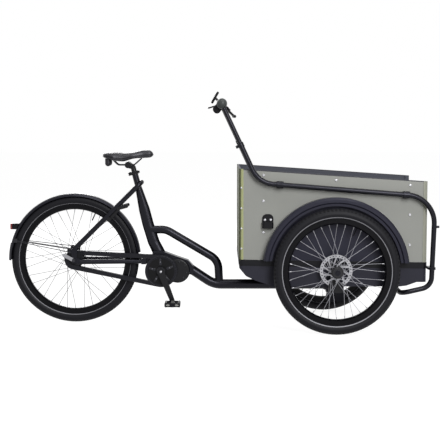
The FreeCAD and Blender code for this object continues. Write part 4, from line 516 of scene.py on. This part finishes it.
def treadDepth(angle, turn):  # the deepest of the rib, blocks, gutter, lugs, sipes and rings at each point
    side = np.abs(angle)
    slant = np.mod(turn + side / tread["slantRun"], 1.0)
    step = np.mod(turn + 0.5 * (angle > 0) + side / tread["stepRun"], 1.0)
    rounds = np.maximum(band(side, *tread["rib"]), band(side, *tread["gutter"]))
    rings = tread["ringDepth"] * sum(band(side, *ring) for ring in tread["rings"])
    blocks = band(side, *tread["blocks"]) * band(slant, *tread["blockGap"])
    lugs = band(side, *tread["lugs"]) * band(step, *tread["lugGap"])
    sipe = tread["sipeDepth"] * band(side, *tread["sipe"]) * band(slant, *tread["sipeGap"])
    return np.maximum(np.maximum(np.maximum(rounds, rings), blocks), np.maximum(lugs, sipe))


def mark(piece, name, values):  # one number for each point, for the material to read
    layer = piece.data.attributes.new(name, "FLOAT", "POINT")
    layer.data.foreach_set("value", values.astype(np.float32).ravel())


def makeTyre(name, spec):  # a C-shaped section, cut by the tread, carried round the axle
    wheel = wheels[spec["wheel"]]
    cx, cy, cz = wheel["centre"]
    outer = np.linspace(-tread["bead"], tread["bead"], tread["outerSteps"])
    inner = np.linspace(tread["bead"], -tread["bead"], tread["innerSteps"])
    angle = np.concatenate([outer, inner])
    skinned = np.concatenate([np.ones_like(outer), np.zeros_like(inner)])
    count = spec["lugs"] * tread["perLug"]
    turn = np.arange(count) / tread["perLug"]
    cut = treadDepth(angle[None, :], turn[:, None]) * tread["depth"] * skinned
    section = np.where(skinned > 0, spec["half"], spec["half"] - tread["wall"]) - cut
    radius = cz - spec["half"] + section * np.cos(np.radians(angle))  # the tyre stands on the floor
    side = section * np.sin(np.radians(angle))
    around = turn[:, None] * 2 * math.pi / spec["lugs"]
    points = gathered(cx + radius * np.cos(around), cy + side, cz + radius * np.sin(around))
    piece = addPiece(name, points, True, wheel["body"], skins["tyreRubber"],
                     crease=tread["crease"])
    stripe = band(np.abs(angle), *spec["stripe"], tread["stripeSoft"]) * skinned
    mark(piece, "stripe", np.broadcast_to(stripe, cut.shape))
    mark(piece, "groove", cut / tread["depth"])
    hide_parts(spec["node"])


for tyreName, tyreSpec in tyres.items():
    makeTyre(tyreName, tyreSpec)
print("tyres with tread, three")


def turnedMany(name, profile, around, spots, axes, body, skin):
    # a turned outline of (radius, height) points: each spot, plus height along its axis, plus radius round it
    spots, axes = np.asarray(spots, float), np.asarray(axes, float)
    axes = axes / np.linalg.norm(axes, axis=1, keepdims=True)
    upright = np.abs(axes[:, 2:]) >= 0.9  # these take their bearings from x, the others from z
    guide = np.where(upright, (1.0, 0.0, 0.0), (0.0, 0.0, 1.0))
    east = np.cross(guide, axes)
    east /= np.linalg.norm(east, axis=1, keepdims=True)
    north = np.cross(axes, east)
    turn = wholeTurn(around)[None, :, None]
    outline = np.asarray(profile, float)[None, :, None, :]
    circle = east[:, None, :] * np.cos(turn) + north[:, None, :] * np.sin(turn)
    points = (spots[:, None, None, :] + outline[..., 1:] * axes[:, None, None, :]
              + outline[..., :1] * circle[:, None, :, :])
    return addPiece(name, points, False, body, skin, caps=True)


# steel nipples where the spokes meet the rims
nipples = {"profile": ((0.0010, -0.0125), (0.0016, -0.0120), (0.0019, -0.0100), (0.0019, -0.0012),
                       (0.0026, 0.0004)),
           "perSide": 18, "crosses": 3, "lift": 0.0024, "wire": 0.001, "rimSide": 0.003, "around": 8}
hoops = {"rearNipples": {"wheel": "rear", "rim": 0.25735, "flange": 0.0472, "flangeSide": 0.030},
         "frontNipplesRight": {"wheel": "right", "rim": 0.23382, "flange": 0.0312, "flangeSide": 0.026},
         "frontNipplesLeft": {"wheel": "left", "rim": 0.23382, "flange": 0.0312, "flangeSide": 0.026}}


def makeNipples(name, hoop):  # each stands on the rim and points down its own spoke
    wheel = wheels[hoop["wheel"]]
    cx, cy, cz = wheel["centre"]
    step = 360.0 / nipples["perSide"]
    index = np.tile(np.arange(nipples["perSide"]), 2)
    side = np.repeat((1.0, -1.0), nipples["perSide"])
    lean = np.where(index % 2 == 0, 1.0, -1.0)
    angle = np.radians((index + np.where(side > 0, 0.0, 0.5)) * step)
    hubAngle = angle + lean * np.radians(nipples["crosses"] * step)
    rimEnd = gathered(cx + hoop["rim"] * np.cos(angle),
                      cy + side * nipples["rimSide"] + lean * nipples["wire"],
                      cz + hoop["rim"] * np.sin(angle))
    hubEnd = gathered(cx + hoop["flange"] * np.cos(hubAngle),
                      cy + side * hoop["flangeSide"] + lean * nipples["lift"],
                      cz + hoop["flange"] * np.sin(hubAngle))
    turnedMany(name, nipples["profile"], nipples["around"], rimEnd, rimEnd - hubEnd, wheel["body"],
               skins["nutSteel"])


for hoopName, hoopSpec in hoops.items():
    makeNipples(hoopName, hoopSpec)
print("spoke nipples, three wheels")

# metres; the tables are shares of half width and crown height at places along the length
saddle = {"tail": -0.5932, "length": 0.259, "base": 0.8500, "crown": 0.045, "half": 0.082,
          "rows": 120, "cols": 112,
          "along": (0.0, 0.06, 0.22, 0.42, 0.60, 0.78, 0.93, 1.0),
          "wide": (0.66, 0.86, 1.0, 0.77, 0.46, 0.31, 0.28, 0.24),
          "top": (0.56, 0.72, 0.76, 0.63, 0.68, 0.92, 0.92, 0.78),
          "low": (0.10, 0.04, -0.31, -0.43, -0.09, 0.01, 0.06, 0.16),
          "reading": (-0.2, 1.2, 1401), "window": 151,
          "tailRound": 0.05, "noseRound": 0.07, "leastRound": 0.02, "belly": 0.40,
          "sidePower": 0.72, "topPower": 0.82, "lowPower": 0.40, "upper": (0.3, 0.8),
          "channel": 0.0034, "channelHalf": 0.010, "channelRun": (0.16, 0.66, 0.08),
          "hollow": 0.8504, "hollowSide": (0.70, 0.82),
          "seam": 0.0010, "seamSide": 0.66, "seamHalf": 0.035, "crease": 80.0,
          "piping": 0.0016, "pipingSteps": 90, "pipingAround": 10,
          "stitches": 46, "stitchRun": (0.10, 0.90), "stitchHalf": 0.006, "stitchLift": 0.0004,
          "stitchAround": 6,
          "stitch": ((0.0002, -0.0016), (0.0005, -0.0012), (0.0006, 0.0), (0.0005, 0.0012), (0.0002, 0.0016))}


def easy(along, table):  # a table read along the saddle, its corners rounded by a moving average
    fine = np.linspace(*saddle["reading"])
    window = np.hanning(saddle["window"])
    smooth = np.convolve(np.interp(fine, saddle["along"], table), window / window.sum(), mode="same")
    return np.interp(along, fine, smooth)


def endRound(run, size):  # a quarter circle from the end of the saddle over a short run, then 1
    return np.sqrt(1 - (1 - np.clip(run / size, saddle["leastRound"], 1.0)) ** 2)


def saddleSurface(along, turn):
    # squared oval sections from tail to nose, less a groove on top, a hollow underneath and two sewn seams
    closing = endRound(along, saddle["tailRound"]) * endRound(1 - along, saddle["noseRound"])
    half = saddle["half"] * easy(along, saddle["wide"]) * closing
    top = saddle["base"] + saddle["crown"] * easy(along, saddle["top"])
    low = saddle["base"] + saddle["crown"] * easy(along, saddle["low"])
    middle = low + (top - low) * saddle["belly"]
    low, top = middle + (low - middle) * closing, middle + (top - middle) * closing
    sine = np.sin(turn)
    out = swell(np.cos(turn), saddle["sidePower"])
    y = half * out
    under = low + np.maximum(saddle["hollow"] - low, 0.0) * (1 - ramp(np.abs(out), *saddle["hollowSide"]))
    rise = np.where(sine > 0, np.abs(sine) ** saddle["topPower"], -np.abs(sine) ** saddle["lowPower"])
    z = middle + np.where(rise > 0, (top - middle) * rise, (middle - under) * rise)
    groove = saddle["channel"] * np.exp(-(y / saddle["channelHalf"]) ** 2)
    groove = groove * band(along, *saddle["channelRun"])
    seams = saddle["seam"] * np.exp(-((np.abs(out) - saddle["seamSide"]) / saddle["seamHalf"]) ** 2)
    z = z - ramp(rise, *saddle["upper"]) * (groove + seams)
    return gathered(saddle["tail"] + saddle["length"] * along, y, z)


def pathTube(name, path, radius, around, axis, body, skin):  # a round section along a closed path
    ahead = np.roll(path, -1, 0) - np.roll(path, 1, 0)
    ahead /= np.linalg.norm(ahead, axis=1, keepdims=True)
    side = np.cross(ahead, axis)
    side /= np.linalg.norm(side, axis=1, keepdims=True)
    up = np.cross(side, ahead)
    turn = wholeTurn(around)[None, :, None]
    points = path[:, None] + radius * (np.cos(turn) * side[:, None] + np.sin(turn) * up[:, None])
    return addPiece(name, points, True, body, skin)


def closeEnds(count):  # shares from 0 to 1 that crowd towards both ends: half of one less a cosine
    return 0.5 - 0.5 * np.cos(np.linspace(0.0, math.pi, count))


def makeCushion():  # the sculpted surface over the whole turn, and a bead of piping along its widest line
    points = saddleSurface(closeEnds(saddle["rows"])[:, None], wholeTurn(saddle["cols"])[None, :])
    cushion = addPiece("saddleCushion", points, False, "saddle", skins["saddleSkin"],
                       caps=True, crease=saddle["crease"])
    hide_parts("saddle_cover")
    run = closeEnds(saddle["pipingSteps"])
    near = saddleSurface(run, np.zeros_like(run))
    far = saddleSurface(run[::-1], np.full_like(run, math.pi))
    edge = np.concatenate([near[:-1], far[:-1]])
    pathTube("saddlePiping", edge, saddle["piping"], saddle["pipingAround"], (0, 0, 1), "saddle",
             skins["casingBlack"])


def makeStitches():  # short threads along both seams, each from a little behind its place to a little ahead
    seamTurn = math.acos(saddle["seamSide"] ** (1 / saddle["sidePower"]))
    spot = np.tile(np.linspace(*saddle["stitchRun"], saddle["stitches"]), 2)
    turn = np.repeat((seamTurn, math.pi - seamTurn), saddle["stitches"])
    behind = saddleSurface(spot - saddle["stitchHalf"], turn)
    ahead = saddleSurface(spot + saddle["stitchHalf"], turn)
    middles = (behind + ahead) / 2 + (0.0, 0.0, saddle["stitchLift"])
    turnedMany("saddleStitches", saddle["stitch"], saddle["stitchAround"], middles, ahead - behind, "saddle",
               skins["stitchThread"])


makeCushion()
makeStitches()
print("saddle sculpted")

# small screw heads as (radius, height) outlines, and the places where they sit
screws = {"dome": ((0.0048, 0.0), (0.0048, 0.0008), (0.0040, 0.0018), (0.0022, 0.0024), (0.0018, 0.0024),
                   (0.0017, 0.0012), (0.0002, 0.0012)),
          "around": 16, "stripSide": 0.310, "stripX": 0.1140, "stripHeights": (0.415, 0.515, 0.615, 0.715),
          "motorCentre": (-0.209167, 0.270), "motorFace": -0.0380, "motorRing": 0.046,
          "motorTurns": (-50.0, -10.0, 35.0, 80.0)}
drive = {"face": -0.0572, "ringRadius": 0.0775, "ringWire": 0.0020, "ringSteps": 144, "ringAround": 10,
         "arms": 5, "firstArm": 22.0, "armInner": 0.029, "armOuter": 0.0655, "armHalf": 0.0062,
         "armRise": 0.0014, "armPower": 0.5, "armAround": 20,
         "armShare": (0.0, 0.03, 0.2, 0.5, 0.8, 0.97, 1.0),
         "armPlump": (0.3, 0.8, 1.0, 0.92, 0.85, 0.7, 0.3), "boltRing": 0.047, "boltAround": 14,
         "bolt": ((0.0034, 0.0), (0.0034, 0.0008), (0.0027, 0.0016), (0.0015, 0.0019), (0.0013, 0.0010),
                  (0.0002, 0.0010)),
         "crankFace": 0.081, "crankAround": 24,
         "crankBolt": ((0.0062, -0.0004), (0.0062, 0.0010), (0.0052, 0.0022), (0.0036, 0.0026),
                       (0.0033, 0.0026), (0.0032, 0.0006), (0.0003, 0.0006))}


def onFace(centre, face, radius, degrees):  # places round a crosswise axis, on one upright face
    turn = np.radians(np.asarray(degrees, float))
    return gathered(centre[0] + radius * np.cos(turn), face, centre[1] + radius * np.sin(turn))


def outward(ways):  # crosswise directions, to the right where the way is -1 and to the left where it is 1
    return gathered(0.0, np.asarray(ways, float), 0.0)


def makeScrews(setup):  # a row on each rear strip of the box, and an arc on the motor's face
    heights = np.tile(setup["stripHeights"], 2)
    ways = np.repeat((-1.0, 1.0), len(setup["stripHeights"]))
    strip = gathered(setup["stripX"], ways * setup["stripSide"], heights)
    turnedMany("stripScrews", setup["dome"], setup["around"], strip, outward(ways), "cargo",
               skins["brightSteel"])
    motor = onFace(setup["motorCentre"], setup["motorFace"], setup["motorRing"], setup["motorTurns"])
    turnedMany("motorScrews", setup["dome"], setup["around"], motor, outward(np.full(len(motor), -1.0)),
               "frame", skins["darkSteel"])


def makeCoverDress(setup):  # a thin raised wire ring, lighter than the cover as a painted highlight along the outer edge of its ring, and arms whose flat oval section narrows outwards
    around = np.linspace(0.0, 360.0, setup["ringSteps"], endpoint=False)
    ring = onFace(crankAxle, setup["face"], setup["ringRadius"], around)
    pathTube("coverHighlightRing", ring, setup["ringWire"], setup["ringAround"], (0, 1, 0), "frame",
             skins["ringGrey"])
    degrees = setup["firstArm"] + np.arange(setup["arms"]) * 360.0 / setup["arms"]
    out = np.radians(degrees)[:, None, None]
    share = np.array(setup["armShare"])[None, :, None]
    plump = np.array(setup["armPlump"])[None, :, None]
    turn = wholeTurn(setup["armAround"])[None, None, :]
    radius = setup["armInner"] + (setup["armOuter"] - setup["armInner"]) * share
    aside = setup["armHalf"] * plump * swell(np.cos(turn), setup["armPower"])
    rise = setup["armRise"] * plump * swell(np.sin(turn), setup["armPower"])
    x = crankAxle[0] + radius * np.cos(out) - aside * np.sin(out)
    z = crankAxle[1] + radius * np.sin(out) + aside * np.cos(out)
    addPiece("coverArms", gathered(x, setup["face"] - rise, z), False, "frame",
             skins["ringGrey"], caps=True)
    bolts = onFace(crankAxle, setup["face"] - setup["armRise"], setup["boltRing"], degrees)
    turnedMany("coverBolts", setup["bolt"], setup["boltAround"], bolts, outward(np.full(len(bolts), -1.0)),
               "frame", skins["boltGrey"])


def makeCrankBolts(setup):  # one in the outer end of each crank arm
    ways = np.array((-1.0, 1.0))
    ends = gathered(crankAxle[0], ways * setup["crankFace"], crankAxle[1])
    turnedMany("crankBolts", setup["crankBolt"], setup["crankAround"], ends, outward(ways), "crank",
               skins["brightSteel"])


makeScrews(screws)
makeCoverDress(drive)
makeCrankBolts(drive)
print("screws, cover ring and crank bolts set")

pedals = {"half": 0.011, "plate": 0.0009, "margin": 0.006, "around": 20, "boxPower": 0.35,
          "strips": (-0.034, 0.0, 0.034), "stripHalf": (0.0045, 0.0070, 0.0045),
          "stripShare": (0.0, 0.01, 0.99, 1.0), "stripPlump": (0.7, 1.0, 1.0, 0.7),
          "studs": 6, "studAround": 8, "studRows": (-0.034, 0.034),
          "stud": ((0.0016, -0.0004), (0.0016, 0.0008), (0.0010, 0.0012), (0.0002, 0.0012)),
          "eyes": (-0.0225, 0.0225), "eyeHalf": (0.0095, 0.0046), "eyeRise": 0.0009,
          "eyeSpread": (0.05, 0.8, 1.0, 1.0), "eyeHeight": (1.0, 1.0, 0.4, -1.0),
          "sides": {"pedalRight": {"body": "pedal_r", "centre": (-0.232689, 0.112503), "inner": -0.087,
                                   "outer": -0.177, "turn": 0.0},
                    "pedalLeft": {"body": "pedal_l", "centre": (-0.355645, 0.429497), "inner": 0.087,
                                  "outer": 0.177, "turn": 74.0}}}


def setPedal(along, across, up, spec):  # local places turned about the spindle and moved to the pedal
    turn = math.radians(spec["turn"])
    return gathered(spec["centre"][0] + along * math.cos(turn) + up * math.sin(turn), across,
                    spec["centre"][1] - along * math.sin(turn) + up * math.cos(turn))


def makeStrips(name, spec, low, high):  # flat squared-oval bars across the pedal, above and below
    turn = wholeTurn(pedals["around"])
    spot = np.tile(pedals["strips"], 2)[:, None, None]
    wide = np.tile(pedals["stripHalf"], 2)[:, None, None]
    face = np.repeat((1.0, -1.0), len(pedals["strips"]))[:, None, None] * pedals["half"]
    share = np.array(pedals["stripShare"])[None, :, None]
    plump = np.array(pedals["stripPlump"])[None, :, None]
    along = spot + wide * plump * swell(np.cos(turn), pedals["boxPower"])
    up = face + pedals["plate"] * plump * swell(np.sin(turn), pedals["boxPower"])
    strips = setPedal(along, low + (high - low) * share, up, spec)
    addPiece(name + "Strips", strips, False, spec["body"], skins["pedalGrip"], caps=True)


def makeStuds(name, spec, low, high):  # a row of pins on the front and rear strips, on both faces
    run = np.linspace(low + pedals["margin"], high - pedals["margin"], pedals["studs"])
    along, across, way = (g.ravel() for g in np.meshgrid(pedals["studRows"], run, (1.0, -1.0), indexing="ij"))
    seat = setPedal(along, across, way * (pedals["half"] + pedals["plate"]), spec)
    turn = math.radians(spec["turn"])
    ways = gathered(way * math.sin(turn), 0.0, way * math.cos(turn))
    turnedMany(name + "Studs", pedals["stud"], pedals["studAround"], seat, ways, spec["body"],
               skins["nutSteel"])


def makeEyes(name, spec):  # two pale oval caps on the outer end, with a rounded rim
    turn = wholeTurn(pedals["around"])
    spread = np.array(pedals["eyeSpread"])[None, :, None]
    rise = np.array(pedals["eyeHeight"])[None, :, None] * pedals["eyeRise"]
    along = np.array(pedals["eyes"])[:, None, None] + pedals["eyeHalf"][0] * spread * np.cos(turn)
    up = pedals["eyeHalf"][1] * spread * np.sin(turn)
    across = spec["outer"] + math.copysign(1.0, spec["outer"]) * rise
    addPiece(name + "Eyes", setPedal(along, across, up, spec), False, spec["body"],
             skins["pedalPale"], caps=True)


for pedalName, pedalSpec in pedals["sides"].items():
    lowEnd, highEnd = sorted((pedalSpec["inner"], pedalSpec["outer"]))
    treadRun = lowEnd + pedals["margin"], highEnd - pedals["margin"]
    makeStrips(pedalName, pedalSpec, *treadRun)
    makeStuds(pedalName, pedalSpec, *treadRun)
    makeEyes(pedalName, pedalSpec)
print("pedals dressed")

screen = {"centre": (-0.016317, 0.0, 1.160323), "tilt": 60.0, "lift": 0.0061, "halfLong": 0.027,
          "halfWide": 0.025, "thick": 0.0009, "corner": 6, "cols": 72,
          "spread": (0.02, 0.5, 0.93, 0.985, 1.0, 1.0), "height": (1.0, 1.0, 1.0, 0.8, 0.3, -0.5)}


def makeScreen(setup):  # a rounded square, shrunk ring by ring to its middle, on the face towards the rider
    tilt = math.radians(setup["tilt"])
    normal = np.array((-math.sin(tilt), 0.0, math.cos(tilt)))
    upward = np.array((math.cos(tilt), 0.0, math.sin(tilt)))
    turn = wholeTurn(setup["cols"])
    cosine, sine = np.cos(turn), np.sin(turn)
    square = (np.abs(cosine) ** setup["corner"] + np.abs(sine) ** setup["corner"]) ** (-1 / setup["corner"])
    long, wide = setup["halfLong"] * square * cosine, setup["halfWide"] * square * sine
    rim = long[:, None] * upward + wide[:, None] * (0, 1, 0)
    spread = np.array(setup["spread"])[:, None, None]
    height = np.array(setup["height"])[:, None, None]
    seat = np.array(setup["centre"]) + normal * (setup["lift"] + setup["thick"] * height)
    points = seat + rim[None] * spread
    addPiece("displayGlass", points, False, "handlebar", skins["screenGlass"], caps=True)


makeScreen(screen)
print("display glazed")
